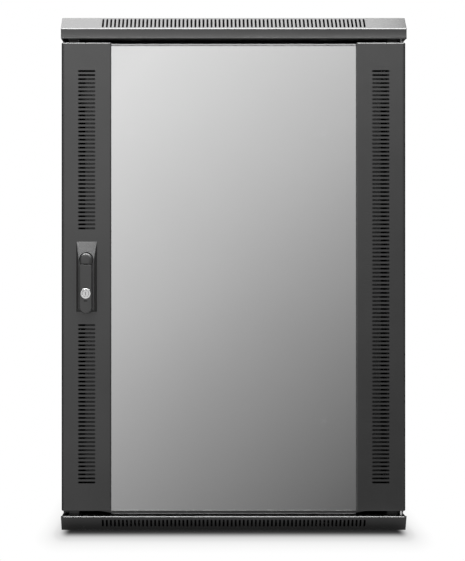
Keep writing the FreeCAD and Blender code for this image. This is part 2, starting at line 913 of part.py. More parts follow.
# The swing handle stands on the middle of the left stile.
handle_x = -stile_centre
pivot_z = door_middle + d.pivot_rise
housing_top = door_front - d.housing_height
lever_back = housing_top - d.lever_gap
lever_front = lever_back - d.lever_depth
lever_pin_y = lever_front + d.lever_pin_inset
lever_pin_z = pivot_z - d.lever_pin_drop
lever_high = lever_pin_z + d.lever_rise
lever_end = door_middle - d.lever_drop + d.lever_width / 2
half_lever = d.lever_width / 2
lock_spot = (handle_x, door_middle - d.lock_drop)
plate_back = door_front + d.sheet + d.back_plate
shaft_end = door_back + d.shaft_reach
cam_back = shaft_end + d.latch_cam


def make_handle_housing():
    """A block with sloping sides on the front of the stile, and its clamping plate behind."""
    wedge = doc.addObject("Part::Wedge", "Housing")
    sizes = {
        "Ymin": housing_top,
        "Ymax": door_front,
        "Xmin": handle_x - d.housing_top_width / 2,
        "Xmax": handle_x + d.housing_top_width / 2,
        "Zmin": door_middle - d.housing_top_low,
        "Zmax": door_middle + d.housing_top_high,
        "X2min": handle_x - d.housing_width / 2,
        "X2max": handle_x + d.housing_width / 2,
        "Z2min": door_middle - d.housing_length / 2,
        "Z2max": door_middle + d.housing_length / 2,
    }
    for name, size in sizes.items():
        bind(wedge, name, size)
    shaft = (d.spindle_radius + d.fit) * AROUND
    hole = prism("y", handle_x, pivot_z, housing_top - CLEAR, door_front + CLEAR, shaft)
    keep(bore(wedge, hole), "handle_housing")
    plate = new_body("handle_back_plate")
    outline = block(handle_x, door_middle, d.back_plate_width / 2, d.back_plate_length / 2)
    add(plate, "y", [outline], door_front + d.sheet, plate_back)
    shaft_hole = facets(handle_x, pivot_z, d.spindle_radius + d.spindle_clearance)
    cut(plate, "y", [shaft_hole], door_front, plate_back + CLEAR)
    screws = []
    for up in (door_middle - d.handle_screw_low, door_middle + d.handle_screw_high):
        screws.append(screw("y", handle_x, up, plate_back, 1, plate_back - d.handle_screw_reach, "m4"))
    group("handle_screws", screws)


def make_handle_spindle():
    """The pivot head and its shaft through the door, and the latch cam on the shaft's end."""
    body = new_body("handle_spindle")
    head_back = lever_back + d.head_gap
    add(body, "y", [facets(handle_x, pivot_z, half_lever)], lever_front, head_back)
    flat = rectangle(
        handle_x - half_lever, pivot_z - d.lever_width, handle_x + half_lever, pivot_z - d.head_flat
    )
    cut(body, "y", [flat], lever_front - CLEAR, head_back + CLEAR)
    half_tongue = d.tongue_width / 2
    tongue = rectangle(handle_x - half_tongue, lever_pin_z - d.tongue_drop, handle_x + half_tongue, pivot_z)
    add(body, "y", [tongue], lever_front + d.tongue_inset, lever_back - d.tongue_inset / 2)
    add(body, "y", [Circle(handle_x, pivot_z, d.spindle_radius)], head_back, shaft_end)
    square = block(handle_x, pivot_z, d.spindle_square / 2, d.spindle_square / 2)
    add(body, "y", [square], shaft_end, cam_back)
    hole = facets(lever_pin_y, lever_pin_z, (d.lever_pin + d.fit) * AROUND)
    cut(body, "x", [hole], handle_x - d.tongue_width, handle_x + d.tongue_width)
    cam = new_body("latch_cam")
    half_cam = d.latch_cam_width / 2
    finger = rectangle(handle_x - half_cam, pivot_z, handle_x + half_cam, pivot_z + d.latch_cam_reach)
    add(cam, "y", [finger], shaft_end, cam_back)
    add(cam, "y", [facets(handle_x, pivot_z, half_cam)], shaft_end, cam_back)
    cut(cam, "y", [square], shaft_end - CLEAR, cam_back + CLEAR)
    cam_screw = screw("y", handle_x, pivot_z, cam_back, 1, cam_back - d.cam_screw_reach, "m4")
    group("latch_cam_screw", [cam_screw])


def make_handle_lever():
    """The lever with the notch that straddles the pivot head's tongue, its cross pin and its lock."""
    body = new_body("handle_lever")
    grip = rectangle(handle_x - half_lever, lever_end, handle_x + half_lever, lever_high)
    add(body, "y", [grip], lever_front, lever_back)
    add(body, "y", [facets(handle_x, lever_end, half_lever)], lever_front, lever_back)
    half_notch = d.tongue_width / 2 + d.notch_gap
    notch = rectangle(
        handle_x - half_notch, lever_pin_z - d.notch_drop, handle_x + half_notch, lever_high + CLEAR
    )
    cut(body, "y", [notch], lever_front - CLEAR, lever_back + CLEAR)
    bevel = Polygon(
        (lever_front - CLEAR, lever_high + CLEAR),
        (lever_front - CLEAR, lever_high - d.lever_bevel),
        (lever_front + d.lever_bevel, lever_high + CLEAR),
    )
    span = (handle_x - d.lever_width, handle_x + d.lever_width)
    cut(body, "x", [bevel], *span)
    cut(body, "x", [facets(lever_pin_y, lever_pin_z, d.lever_pin)], *span)
    keyhole = facets(*lock_spot, (d.lock_radius + d.fit) * AROUND)
    cut(body, "y", [keyhole], lever_front - CLEAR, lever_back + CLEAR)
    half_pin = d.lever_pin_length / 2
    pin = rod("x", lever_pin_y, lever_pin_z, handle_x - half_pin, handle_x + half_pin, d.lever_pin)
    keep(pin, "lever_pin")
    lock = new_body("lock_cylinder")
    face = lever_front - d.lock_proud
    add(lock, "y", [Circle(*lock_spot, d.lock_radius)], face, lever_back - d.lock_proud)
    keyway = block(*lock_spot, d.keyway_width / 2, d.keyway_height / 2)
    cut(lock, "y", [keyway], face - CLEAR, face + d.keyway_depth)


def make_hinges():
    """A fixed pin with a shoulder under the door, and a sprung bolt that can be drawn down above it."""
    spot = (hinge_x, hinge_y)
    seat = d.base_height - d.sheet
    shoulder = door_bottom - d.fit
    pin = fuse(
        prism("z", *spot, seat - d.pin_head, seat, d.pin_head_radius, HEX),
        prism("z", *spot, seat - d.pin_head / 2, shoulder, d.hinge_radius),
        rod("z", *spot, shoulder - CLEAR, door_bottom + d.pin_reach, d.pivot_radius),
    )
    keep(pin, "lower_hinge_pin")
    make_bush("lower_hinge_bush", door_bottom, d.lower_bush, d.pivot_radius)
    make_bush("upper_hinge_bush", crown_bottom, d.upper_bush, d.hinge_radius)
    guide = door_top - d.guide_drop
    tail = guide - d.bolt_tail
    collar = guide + d.spring_length
    bolt = fuse(
        rod("z", *spot, tail, crown_bottom + d.upper_bush, d.hinge_radius),
        prism("x", hinge_y, tail, hinge_x - d.bolt_finger, hinge_x, d.hinge_radius, HEX),
        prism("z", *spot, collar, collar + d.collar, d.collar_radius, HEX),
    )
    keep(bolt, "upper_hinge_bolt")
    coil = prism("z", *spot, guide, collar, d.spring_outer)
    keep(bore(coil, prism("z", *spot, guide - CLEAR, collar + CLEAR, d.spring_inner)), "hinge_spring")
    bracket = new_body("hinge_bolt_bracket")
    skin = door_front + d.sheet
    shelf = guide - d.bracket_sheet
    section = Polygon(
        (skin, guide - d.bracket_drop),
        (skin + d.sheet, guide - d.bracket_drop),
        (skin + d.sheet, shelf),
        (door_back - d.bracket_sheet, shelf),
        (door_back - d.bracket_sheet, guide),
        (skin, guide),
    )
    add(bracket, "x", [section], hinge_x - d.bracket_width, half_door - d.sheet)
    hole = facets(*spot, (d.hinge_radius + d.fit) * AROUND)
    cut(bracket, "z", [hole], shelf - CLEAR, guide + CLEAR)


def make_bush(node, low, length, radius):
    sleeve = prism("z", hinge_x, hinge_y, low, low + length, radius + d.sheet)
    inside = (radius + d.fit) * AROUND
    keep(bore(sleeve, prism("z", hinge_x, hinge_y, low - CLEAR, low + length + CLEAR, inside)), node)


def make_small_fittings():
    across = -(d.post_outer - d.buffer_inset)
    heights = (door_bottom + d.buffer_spread, door_top - d.buffer_spread)
    seat = post_front - d.buffer_height
    buffers = [prism("y", across, up, seat, post_front, d.buffer_radius) for up in heights]
    group("door_buffers", buffers)
    spot = (d.stud_across, d.stud_along)
    stud = fuse(
        prism("z", *spot, d.sheet, d.stud_height, d.m6_shank, HEX),
        prism("z", *spot, d.sheet, d.sheet + d.nut_height, d.m6_head, HEX),
    )
    keep(stud, "earth_stud")


make_bottom_cover()
make_top_cover()
make_cable_covers()
make_posts()
make_depth_rails()
make_rear_panel()
make_side_panels()
make_rack_rails()
make_door_frame()
make_glazing()
make_handle_housing()
make_handle_spindle()
make_handle_lever()
make_hinges()
make_small_fittings()
doc.recompute()

failed = [thing.Label for thing in doc.Objects if "Invalid" in thing.State or "Error" in thing.State]
if failed:
    raise RuntimeError("failed objects: " + ", ".join(failed))
for node in nodes:
    if node.Shape.isNull() or not node.Shape.isValid():
        raise RuntimeError("bad shape: " + node.Label)

os.makedirs("parts", exist_ok=True)
for node in nodes:
    node.Shape.exportStep("parts/%s.step" % node.Label)
    print("%-24s %10.1f mm3  %d solids" % (node.Label, node.Shape.Volume, len(node.Shape.Solids)))
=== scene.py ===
# %% [markdown]
# # A glazed wall cabinet for rack equipment
#
# The cabinet arrives as a set of solids in their real places: folded covers, posts, rails, a door and a
# swing handle. Here they get their finishes, their rounded folds and the small parts that catch light.
# Everything below is in metres, in the same frame as the solids, so a piece is placed by reading the
# solid that it belongs to.

# %% Load the solids
import json
import math
import bmesh
import bpy
from mathutils import Matrix, Vector


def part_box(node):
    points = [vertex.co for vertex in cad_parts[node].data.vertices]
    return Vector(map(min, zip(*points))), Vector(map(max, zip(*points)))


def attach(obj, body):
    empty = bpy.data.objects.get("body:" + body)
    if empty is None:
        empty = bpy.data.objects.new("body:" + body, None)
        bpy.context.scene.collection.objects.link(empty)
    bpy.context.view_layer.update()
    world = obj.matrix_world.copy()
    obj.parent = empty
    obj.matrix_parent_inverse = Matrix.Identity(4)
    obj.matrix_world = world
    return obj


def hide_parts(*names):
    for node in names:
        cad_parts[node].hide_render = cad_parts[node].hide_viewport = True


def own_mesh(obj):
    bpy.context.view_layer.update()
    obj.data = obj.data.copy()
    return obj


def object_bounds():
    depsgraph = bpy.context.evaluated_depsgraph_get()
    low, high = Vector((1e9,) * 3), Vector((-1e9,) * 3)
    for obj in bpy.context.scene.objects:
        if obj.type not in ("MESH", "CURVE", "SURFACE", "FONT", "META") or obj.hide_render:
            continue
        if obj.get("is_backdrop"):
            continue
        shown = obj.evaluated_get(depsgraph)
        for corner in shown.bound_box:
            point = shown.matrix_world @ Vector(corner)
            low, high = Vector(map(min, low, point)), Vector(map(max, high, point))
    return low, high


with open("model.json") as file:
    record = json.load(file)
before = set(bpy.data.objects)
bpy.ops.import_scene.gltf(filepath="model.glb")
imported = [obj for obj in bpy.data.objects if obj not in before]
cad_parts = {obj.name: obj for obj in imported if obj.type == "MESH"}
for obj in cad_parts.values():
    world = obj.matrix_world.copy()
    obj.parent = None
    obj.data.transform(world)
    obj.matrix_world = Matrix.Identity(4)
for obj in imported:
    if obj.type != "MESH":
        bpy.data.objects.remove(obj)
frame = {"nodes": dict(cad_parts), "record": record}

MM = 0.001
cad_low, cad_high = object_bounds()
scene = bpy.context.scene
nodes = frame["nodes"]
slot_of_node = {entry["node"]: entry["material_slot"] for entry in frame["record"]["subparts"]}
print("solids", len(nodes), "box", [round(edge, 3) for edge in (*cad_low, *cad_high)])

# %% [markdown]
# ## The camera
#
# The cabinet is seen square on from about two metres. A long lens keeps the sides parallel, and a little
# shift, as on a view camera, puts the cabinet in the middle of the frame without turning the camera.

# %% Camera
PICTURE_HEIGHT = 561
MM_PER_PIXEL = 1.734
SENSOR = 36
CAMERA_DISTANCE = 2.2
CAMERA_ACROSS = -0.057
CAMERA_HEIGHT = 0.435
FRAME_ACROSS = -0.0022

front_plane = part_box("top_cover")[0].y
frame_height = PICTURE_HEIGHT * MM_PER_PIXEL * MM
camera_data = bpy.data.cameras.new("camera")
camera_data.sensor_width = SENSOR
camera_data.lens = SENSOR * CAMERA_DISTANCE / frame_height
camera_data.shift_x = (FRAME_ACROSS - CAMERA_ACROSS) / frame_height
camera = bpy.data.objects.new("camera", camera_data)
camera.location = (CAMERA_ACROSS, front_plane - CAMERA_DISTANCE, CAMERA_HEIGHT)
camera.rotation_euler = (math.radians(90), 0, 0)
scene.collection.objects.link(camera)
scene.camera = camera
print("lens", round(camera_data.lens, 1), "mm, shift", round(camera_data.shift_x, 3))

# %% [markdown]
# ## Light, floor and what is reflected
#
# A large soft lamp overhead makes the sloping front of the top cover bright, and a smaller one high in
# front lights the door. The white surroundings fill the rest. Beside the cabinet the floor has a painted
# shadow: it is matt and nearly black there, taking the real shadow too, and runs to white away from it.
#
# Glass and coated steel show what stands round them, so there are cards that only reflections see. The
# one behind the camera runs from light at the upper left to dark at the lower right, for the pane. A
# bright strip above the camera draws thin lights along the folds. Dark flags at the sides, behind and on
# the floor keep other edges dark. All of them have soft edges.

# %% Scene helpers
scene.view_settings.view_transform = "Standard"


def new_material(name):
    """A fresh material with its node tree, its shader and its output."""
    material = bpy.data.materials.new(name)
    material.use_nodes = True
    tree = material.node_tree
    return material, tree, tree.nodes["Principled BSDF"], tree.nodes["Material Output"]


def make_object(name, bm):
    """Put a bmesh into the scene as an object at the origin."""
    mesh = bpy.data.meshes.new(name)
    bm.to_mesh(mesh)
    bm.free()
    thing = bpy.data.objects.new(name, mesh)
    scene.collection.objects.link(thing)
    return thing


# %% Shading helpers


def number_step(tree, operation, first, second):
    """One sum on two numbers."""
    step = tree.nodes.new("ShaderNodeMath")
    step.operation = operation
    tree.links.new(first, step.inputs[0])
    tree.links.new(second, step.inputs[1])
    return step.outputs[0]


def vector_step(tree, operation, source, value=None):
    """One sum on a vector, on the way from a place to a distance."""
    step = tree.nodes.new("ShaderNodeVectorMath")
    step.operation = operation
    tree.links.new(source, step.inputs[0])
    if value is not None:
        step.inputs[1].default_value = value
    return step


def reach_along(tree, direction):
    """How far a point lies along a direction."""
    place = tree.nodes.new("ShaderNodeTexCoord")
    return vector_step(tree, "DOT_PRODUCT", place.outputs["Object"], direction).outputs["Value"]


def ramp(tree, source, start=0.0, end=1.0, low=0.0, high=1.0):
    """Turn a number between start and end into one between low and high."""
    step = tree.nodes.new("ShaderNodeMapRange")
    for name, value in (("From Min", start), ("From Max", end), ("To Min", low), ("To Max", high)):
        step.inputs[name].default_value = value
    tree.links.new(source, step.inputs["Value"])
    return step


def stops_curve(tree, source, stops):
    """A smooth curve through a row of (place, level) stops, both from 0 to 1."""
    curve = tree.nodes.new("ShaderNodeFloatCurve")
    points = curve.mapping.curves[0].points
    points[0].location = stops[0]
    points[1].location = stops[-1]
    for stop in stops[1:-1]:
        points.new(*stop)
    curve.mapping.update()
    tree.links.new(source, curve.inputs["Value"])
    return curve.outputs["Value"]


def blend(tree, share, first, second, output):
    """Mix two shaders by a share, as the material's surface."""
    mix = tree.nodes.new("ShaderNodeMixShader")
    tree.links.new(share, mix.inputs[0])
    tree.links.new(first.outputs[0], mix.inputs[1])
    tree.links.new(second.outputs[0], mix.inputs[2])
    tree.links.new(mix.outputs[0], output.inputs["Surface"])


# %% World
FILL_STRENGTH = 0.42
world = bpy.data.worlds.new("studio")
scene.world = world
world.use_nodes = True
tree = world.node_tree
surround = tree.nodes["Background"]
surround.inputs["Color"].default_value = (1, 1, 1, 1)
path = tree.nodes.new("ShaderNodeLightPath")
seen = number_step(tree, "MAXIMUM", path.outputs["Is Camera Ray"], path.outputs["Is Glossy Ray"])
shown = number_step(tree, "MAXIMUM", seen, path.outputs["Is Transmission Ray"])
strength = ramp(tree, shown, low=FILL_STRENGTH)
tree.links.new(strength.outputs["Result"], surround.inputs["Strength"])
print("world fill", FILL_STRENGTH)

# %% Lamps
LAMPS = {
    "overhead": ((-0.53, 0.1, 2.5), (-0.53, 0.1, 0.0), (2.2, 1.3), 54),
    "front_softbox": ((0.0, -0.8, 2.2), (0.0, -0.225, 0.45), (1.8, 0.55), 20),
}
for name, (spot, target, (size_across, size_along), power) in LAMPS.items():
    lamp_data = bpy.data.lights.new(name, "AREA")
    lamp_data.shape = "RECTANGLE"
    lamp_data.size = size_across
    lamp_data.size_y = size_along
    lamp_data.energy = power
    lamp = bpy.data.objects.new(name, lamp_data)
    lamp.location = spot
    aim = Vector(target) - Vector(spot)
    lamp.rotation_euler = aim.to_track_quat("-Z", "Y").to_euler()
    scene.collection.objects.link(lamp)
    print("lamp", name, power, "W")

# %% Floor
# Painted shadow: the floor's shade close to the cabinet follows the distance from its outline on the floor.
FLOOR_SIZE = 30
FLOOR_REACH = 0.18
# Painted shadow: how much white glow the floor has, by share of the reach from the cabinet's outline.
FLOOR_SHADOW_STOPS = ((0.0, 0.012), (0.048, 0.03), (0.097, 0.095), (0.144, 0.225), (0.192, 0.365), (0.239, 0.52),
               (0.332, 0.71), (0.423, 0.775), (0.513, 0.86), (0.6, 0.905), (0.775, 0.958), (1.0, 1.0))
# The nearly black grey of the matt floor under the painted shadow.
SHADOW_FLOOR_GREY = 0.02
# The painted shadow starts a little inside the cabinet's ends and fades faster to the sides than to the
# front.
FLOOR_SIDE_SCALE = 3
FLOOR_SIDE_INSET = 0.018
bm = bmesh.new()
bmesh.ops.create_grid(bm, x_segments=1, y_segments=1, size=FLOOR_SIZE)
floor = make_object("floor", bm)
floor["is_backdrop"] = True
material, tree, shader, output = new_material("floor_painted_shadow")
tree.nodes.remove(shader)
matt = tree.nodes.new("ShaderNodeBsdfDiffuse")
matt.inputs["Color"].default_value = (SHADOW_FLOOR_GREY, SHADOW_FLOOR_GREY, SHADOW_FLOOR_GREY, 1)
white = tree.nodes.new("ShaderNodeEmission")
place = tree.nodes.new("ShaderNodeTexCoord")
corner = (cad_high.x - FLOOR_SIDE_INSET, cad_high.y, 0)
folded = vector_step(tree, "ABSOLUTE", place.outputs["Object"])
beyond = vector_step(tree, "SUBTRACT", folded.outputs["Vector"], corner)
outside = vector_step(tree, "MAXIMUM", beyond.outputs["Vector"], (0, 0, 0))
narrowed = vector_step(tree, "MULTIPLY", outside.outputs["Vector"], (FLOOR_SIDE_SCALE, 1, 1))
reach = vector_step(tree, "LENGTH", narrowed.outputs["Vector"])
share = ramp(tree, reach.outputs["Value"], end=FLOOR_REACH)
# Painted shadow: nearly black matt grey at the cabinet, white glow away from it.
blend(tree, stops_curve(tree, share.outputs["Result"], FLOOR_SHADOW_STOPS), matt, white, output)
floor.data.materials.append(material)
floor.visible_glossy = False
print("floor laid, white from", FLOOR_REACH, "m")

# %% Card helpers


def soft_edges(tree, shine, output, place, half, fade):
    """Let a card's light run out towards its edges, over a share of its half size."""
    clear = tree.nodes.new("ShaderNodeBsdfTransparent")
    spot = tree.nodes.new("ShaderNodeTexCoord")
    offset = vector_step(tree, "SUBTRACT", spot.outputs["Object"], place)
    folded = vector_step(tree, "ABSOLUTE", offset.outputs["Vector"])
    scale = [1 / abs(size) if abs(size) > MM else 0 for size in half]
    shares = vector_step(tree, "MULTIPLY", folded.outputs["Vector"], scale)
    split = tree.nodes.new("ShaderNodeSeparateXYZ")
    tree.links.new(shares.outputs["Vector"], split.inputs["Vector"])
    inside = []
    for axis in "XYZ":
        edge = ramp(tree, split.outputs[axis], start=1 - fade, low=1, high=0)
        edge.interpolation_type = "SMOOTHSTEP"
        inside.append(edge.outputs["Result"])
    across, deep, up = inside
    level = number_step(tree, "MULTIPLY", number_step(tree, "MULTIPLY", across, deep), up)
    blend(tree, level, clear, shine, output)


def card(name, place, size, turn, fade):
    """A flat card that only reflections see, with the shader that gives it its light."""
    bm = bmesh.new()
    shape = Matrix.Translation(place) @ turn @ Matrix.Diagonal((*size, 1, 1))
    bmesh.ops.create_grid(bm, x_segments=1, y_segments=1, size=0.5, matrix=shape)
    thing = make_object(name, bm)
    thing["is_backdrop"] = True
    thing.visible_camera = False
    thing.visible_diffuse = False
    thing.visible_shadow = False
    thing.visible_transmission = False
    material, tree, shader, output = new_material(name)
    tree.nodes.remove(shader)
    shine = tree.nodes.new("ShaderNodeEmission")
    soft_edges(tree, shine, output, place, turn @ Vector((*size, 0)) / 2, fade)
    thing.data.materials.append(material)
    print("card", name, "at", [round(edge, 2) for edge in place])
    return tree, shine


# %% Card for the pane
LYING = Matrix.Identity(4)
UPRIGHT = Matrix.Rotation(math.radians(90), 4, "X")
SIDEWAYS = Matrix.Rotation(math.radians(90), 4, "Y")
CARD_GAP = 0.3
CARD_SIZE = (4.2, 4.2)
CARD_FADE = 0.4
CARD_SLANT = (0.55, 0, -0.6)
CARD_RUN = (-0.9, 0.55)
CARD_STOPS = ((0.0, 1.0), (0.35, 0.69), (0.65, 0.40), (1.0, 0.155))
CARD_PEAK = 1.6
card_place = (0, front_plane - CAMERA_DISTANCE - CARD_GAP, CAMERA_HEIGHT)
tree, shine = card("reflection_card", card_place, CARD_SIZE, UPRIGHT, CARD_FADE)
slant = ramp(tree, reach_along(tree, CARD_SLANT), *CARD_RUN)
level = ramp(tree, stops_curve(tree, slant.outputs["Result"], CARD_STOPS), high=CARD_PEAK)
tree.links.new(level.outputs["Result"], shine.inputs["Strength"])

# %% Flags and strip
FLAG_FADE = 0.2
FLAG_LEVEL = 0.03
STRIP_FADE = 0.05
STRIP_LEVEL = 26
EVEN_CARDS = {
    "flag_left": ((-0.75, 2.375, 0.3), (1.9, 7.25), SIDEWAYS, FLAG_FADE, FLAG_LEVEL),
    "flag_right": ((0.75, 2.375, 0.3), (1.9, 7.25), SIDEWAYS, FLAG_FADE, FLAG_LEVEL),
    "flag_back": ((0, 6.0, 0.3), (1.9, 1.9), UPRIGHT, FLAG_FADE, FLAG_LEVEL),
    "strip_above": ((0, -1.6, 2.55), (4.0, 1.5), UPRIGHT, STRIP_FADE, STRIP_LEVEL),
}
for name, (place, size, turn, fade, level) in EVEN_CARDS.items():
    tree, shine = card(name, place, size, turn, fade)
    shine.inputs["Strength"].default_value = level

# %% Flag on the floor
FLOOR_FLAG_PLACE = (0, -0.295, -0.002)
FLOOR_FLAG_SIZE = (0.72, 0.21)
FLOOR_FLAG_RUN = (0.222, 0.25)
FLOOR_FLAG_LEVELS = (0.2, 0.9)
tree, shine = card("flag_floor", FLOOR_FLAG_PLACE, FLOOR_FLAG_SIZE, LYING, FLAG_FADE)
level = ramp(tree, reach_along(tree, (0, -1, 0)), *FLOOR_FLAG_RUN, *FLOOR_FLAG_LEVELS)
tree.links.new(level.outputs["Result"], shine.inputs["Strength"])

# %% [markdown]
# ## Finishes
#
# The sheet metal has a satin black powder coat: dark, with a fine orange-peel texture that spreads each
# reflection. The pane is grey glass with a reflective face. Fasteners are zinc plated, the lock is nickel
# plated, and the handle is a smooth black moulding. Fasteners in deep shade get a darkened zinc: painted
# shade.

# %% Finish helpers
NOISE_SPAN = (0.3, 0.7)
NOISE_DETAIL = 3
SHADE_SCALE = 9
GLOSS_SCALE = 60
GRAIN_HEIGHT = 0.3 * MM


def noise_between(tree, scale, low, high):
    """A noise over Object coordinates, spread between two values, and the noise as it is."""
    place = tree.nodes.new("ShaderNodeTexCoord")
    noise = tree.nodes.new("ShaderNodeTexNoise")
    noise.inputs["Scale"].default_value = scale
    noise.inputs["Detail"].default_value = NOISE_DETAIL
    tree.links.new(place.outputs["Object"], noise.inputs["Vector"])
    spread = ramp(tree, noise.outputs["Fac"], *NOISE_SPAN, low, high)
    return spread.outputs["Result"], noise.outputs["Fac"]


def shade_with(tree, shader, scale, low, high):
    """Let a shader's grey wander between two values."""
    tone, _ = noise_between(tree, scale, low, high)
    colour = tree.nodes.new("ShaderNodeCombineColor")
    for channel in ("Red", "Green", "Blue"):
        tree.links.new(tone, colour.inputs[channel])
    tree.links.new(colour.outputs["Color"], shader.inputs["Base Color"])


def add_grain(tree, shader, scale, strength):
    """A fine unevenness of the surface."""
    _, height = noise_between(tree, scale, 0, 1)
    bump = tree.nodes.new("ShaderNodeBump")
    bump.inputs["Strength"].default_value = strength
    bump.inputs["Distance"].default_value = GRAIN_HEIGHT
    tree.links.new(height, bump.inputs["Height"])
    tree.links.new(bump.outputs["Normal"], shader.inputs["Normal"])


def finish_with(name, shade, roughness, grain_scale, grain, metallic=0.0):
    """A finish from a shade range, a roughness range and a fine grain."""
    material, tree, shader, _ = new_material(name)
    shade_with(tree, shader, SHADE_SCALE, *shade)
    rough, _ = noise_between(tree, GLOSS_SCALE, *roughness)
    tree.links.new(rough, shader.inputs["Roughness"])
    add_grain(tree, shader, grain_scale, grain)
    shader.inputs["Metallic"].default_value = metallic
    return material


# %% Finishes
PANE_SHADE_SCALE = 2.5
PANE_SHADE = (0.5, 0.52)
PANE_ROUGHNESS = 0.03
PANE_COVER = 0.85


def smoked_pane():
    """Grey glass whose face reflects about half of the light and lets a little through."""
    material, tree, shader, _ = new_material("smoked_pane")
    shade_with(tree, shader, PANE_SHADE_SCALE, *PANE_SHADE)
    shader.inputs["Metallic"].default_value = 1.0
    shader.inputs["Roughness"].default_value = PANE_ROUGHNESS
    shader.inputs["Alpha"].default_value = PANE_COVER
    return material


finishes = {
    "paint": finish_with("powder_coat", (0.024, 0.03), (0.235, 0.26), 1400, 0.1),
    "handle": finish_with("moulded_black", (0.02, 0.026), (0.28, 0.33), 2500, 0.06),
    "nylon": finish_with("black_nylon", (0.035, 0.045), (0.4, 0.5), 1200, 0.1),
    "rubber": finish_with("soft_rubber", (0.015, 0.02), (0.65, 0.75), 900, 0.2),
    "zinc": finish_with("zinc_plate", (0.55, 0.66), (0.25, 0.36), 700, 0.08, metallic=1.0),
    "lock": finish_with("nickel_plate", (0.42, 0.5), (0.2, 0.28), 900, 0.05, metallic=1.0),
    # Painted shade: a nearly black copy of the zinc for fasteners that stand in deep shade.
    "dull": finish_with("dull_zinc", (0.05, 0.08), (0.5, 0.6), 700, 0.08, metallic=1.0),
    "glass": smoked_pane(),
}
print("finishes", sorted(finishes))

# %% [markdown]
# ## Dressing the solids
#
# Sheet metal has no razor edges. The solids come in as loose triangles, so each gets its points welded,
# its flat faces joined and a narrow bevel along its sharp edges. The bevel is what catches the lamp along
# every fold.

# %% Dress the solids
# The widths of the bevels are in millimetres, by slot.
# Fasteners in deep shade, which take the zinc with painted shade.
PAINTED_SHADE_NODES = ("earth_stud", "handle_screws")
WELD_REACH = 0.01 * MM
FLAT_ANGLE = math.radians(1)
SHARP_ANGLE = math.radians(35)
FOLD = {"paint": 0.5, "handle": 0.8, "zinc": 0.2, "lock": 0.25, "nylon": 0.2, "rubber": 0.3, "glass": 0.4}


def soften(thing, width):
    """Weld a solid's points, join its flat faces and bevel its sharp edges."""
    weld = thing.modifiers.new("weld", "WELD")
    weld.merge_threshold = WELD_REACH
    flat = thing.modifiers.new("flat_faces", "DECIMATE")
    flat.decimate_type = "DISSOLVE"
    flat.angle_limit = FLAT_ANGLE
    bevel = thing.modifiers.new("fold", "BEVEL")
    bevel.limit_method = "ANGLE"
    bevel.angle_limit = SHARP_ANGLE
    bevel.width = width * MM
    bevel.segments = 2


for name, thing in nodes.items():
    slot = slot_of_node[name]
    thing.data.materials.clear()
    thing.data.materials.append(finishes["dull" if name in PAINTED_SHADE_NODES else slot])
    soften(thing, FOLD[slot])
print("dressed", len(nodes), "solids")

# %% [markdown]
# ## Folded sheet metal
#
# The door stiles and the two covers are folded from one sheet, with rows of punched slots. A slot is a
# rounded loop inside a rectangular cell, and the cell is repeated to make the row. From the edges of the
# row the sheet grows outwards and round each corner, its bends are rounded, and at the end it gets its
# thickness. That follows the order of the real work: punch, fold, then finish.

# %% Sheet helpers
TINY = 0.02 * MM
SHEET = 1.5 * MM
SLOT_POINTS = 12
HOLE_POINTS = 16


def at(**where):
    """A test for points that lie at the given coordinates."""
    def lies_there(spot):
        return all(abs(getattr(spot, axis) - value) < TINY for axis, value in where.items())
    return lies_there


def slotted_strip(length, width, pitch, count, cell):
    """A flat row of cells, each with one round-ended slot. The slots lie along X and the row along Y."""
    bm = bmesh.new()
    half_step = math.pi / SLOT_POINTS
    turn = Matrix.Rotation(half_step, 4, "Z")
    radius = width / 2 / math.cos(half_step)
    ring = bmesh.ops.create_circle(bm, segments=SLOT_POINTS, radius=radius, matrix=turn)["verts"]
    for vert in ring:
        vert.co.x += math.copysign((length - width) / 2, vert.co.x)
    outline = Matrix.Diagonal((cell, pitch, 1, 1))
    bmesh.ops.create_grid(bm, x_segments=1, y_segments=1, size=0.5, matrix=outline)
    bmesh.ops.delete(bm, geom=bm.faces[:], context="FACES_ONLY")
    bmesh.ops.bridge_loops(bm, edges=bm.edges[:])
    everything = bm.verts[:] + bm.edges[:] + bm.faces[:]
    bmesh.ops.spin(bm, geom=everything, cent=(0, 0, 0), axis=(0, 0, 1), dvec=(0, pitch, 0), angle=0,
                   steps=count - 1, use_duplicate=True)
    bmesh.ops.remove_doubles(bm, verts=bm.verts, dist=TINY)
    bmesh.ops.translate(bm, verts=bm.verts, vec=(0, -(count - 1) * pitch / 2, 0))
    return bm


def grow(bm, chosen, *steps):
    """Extend the sheet from the free edges that a test picks, one step after another."""
    edges = [edge for edge in bm.edges if edge.is_boundary and all(chosen(v.co) for v in edge.verts)]
    assert edges, "no free edge there"
    for step in steps:
        made = bmesh.ops.extrude_edge_only(bm, edges=edges)["geom"]
        verts = [item for item in made if isinstance(item, bmesh.types.BMVert)]
        edges = [item for item in made if isinstance(item, bmesh.types.BMEdge) and item.is_boundary
                 and all(vert in verts for vert in item.verts)]
        bmesh.ops.translate(bm, verts=verts, vec=step)


def close(bm, chosen):
    """Fill a flat end with one face through all points that a test picks."""
    bmesh.ops.contextual_create(bm, geom=[vert for vert in bm.verts if chosen(vert.co)])


# %% Holes and bends


def holds(face, spot):
    """Whether a point lies in a face."""
    level = abs((spot - face.calc_center_median()).dot(face.normal)) < TINY
    return level and bmesh.geometry.intersect_face_point(face, spot)


def fill(bm, *loops):
    """A face inside the first loop, left open inside the others."""
    bmesh.ops.triangle_fill(bm, use_beauty=True, edges=[edge for ring in loops for edge in ring])


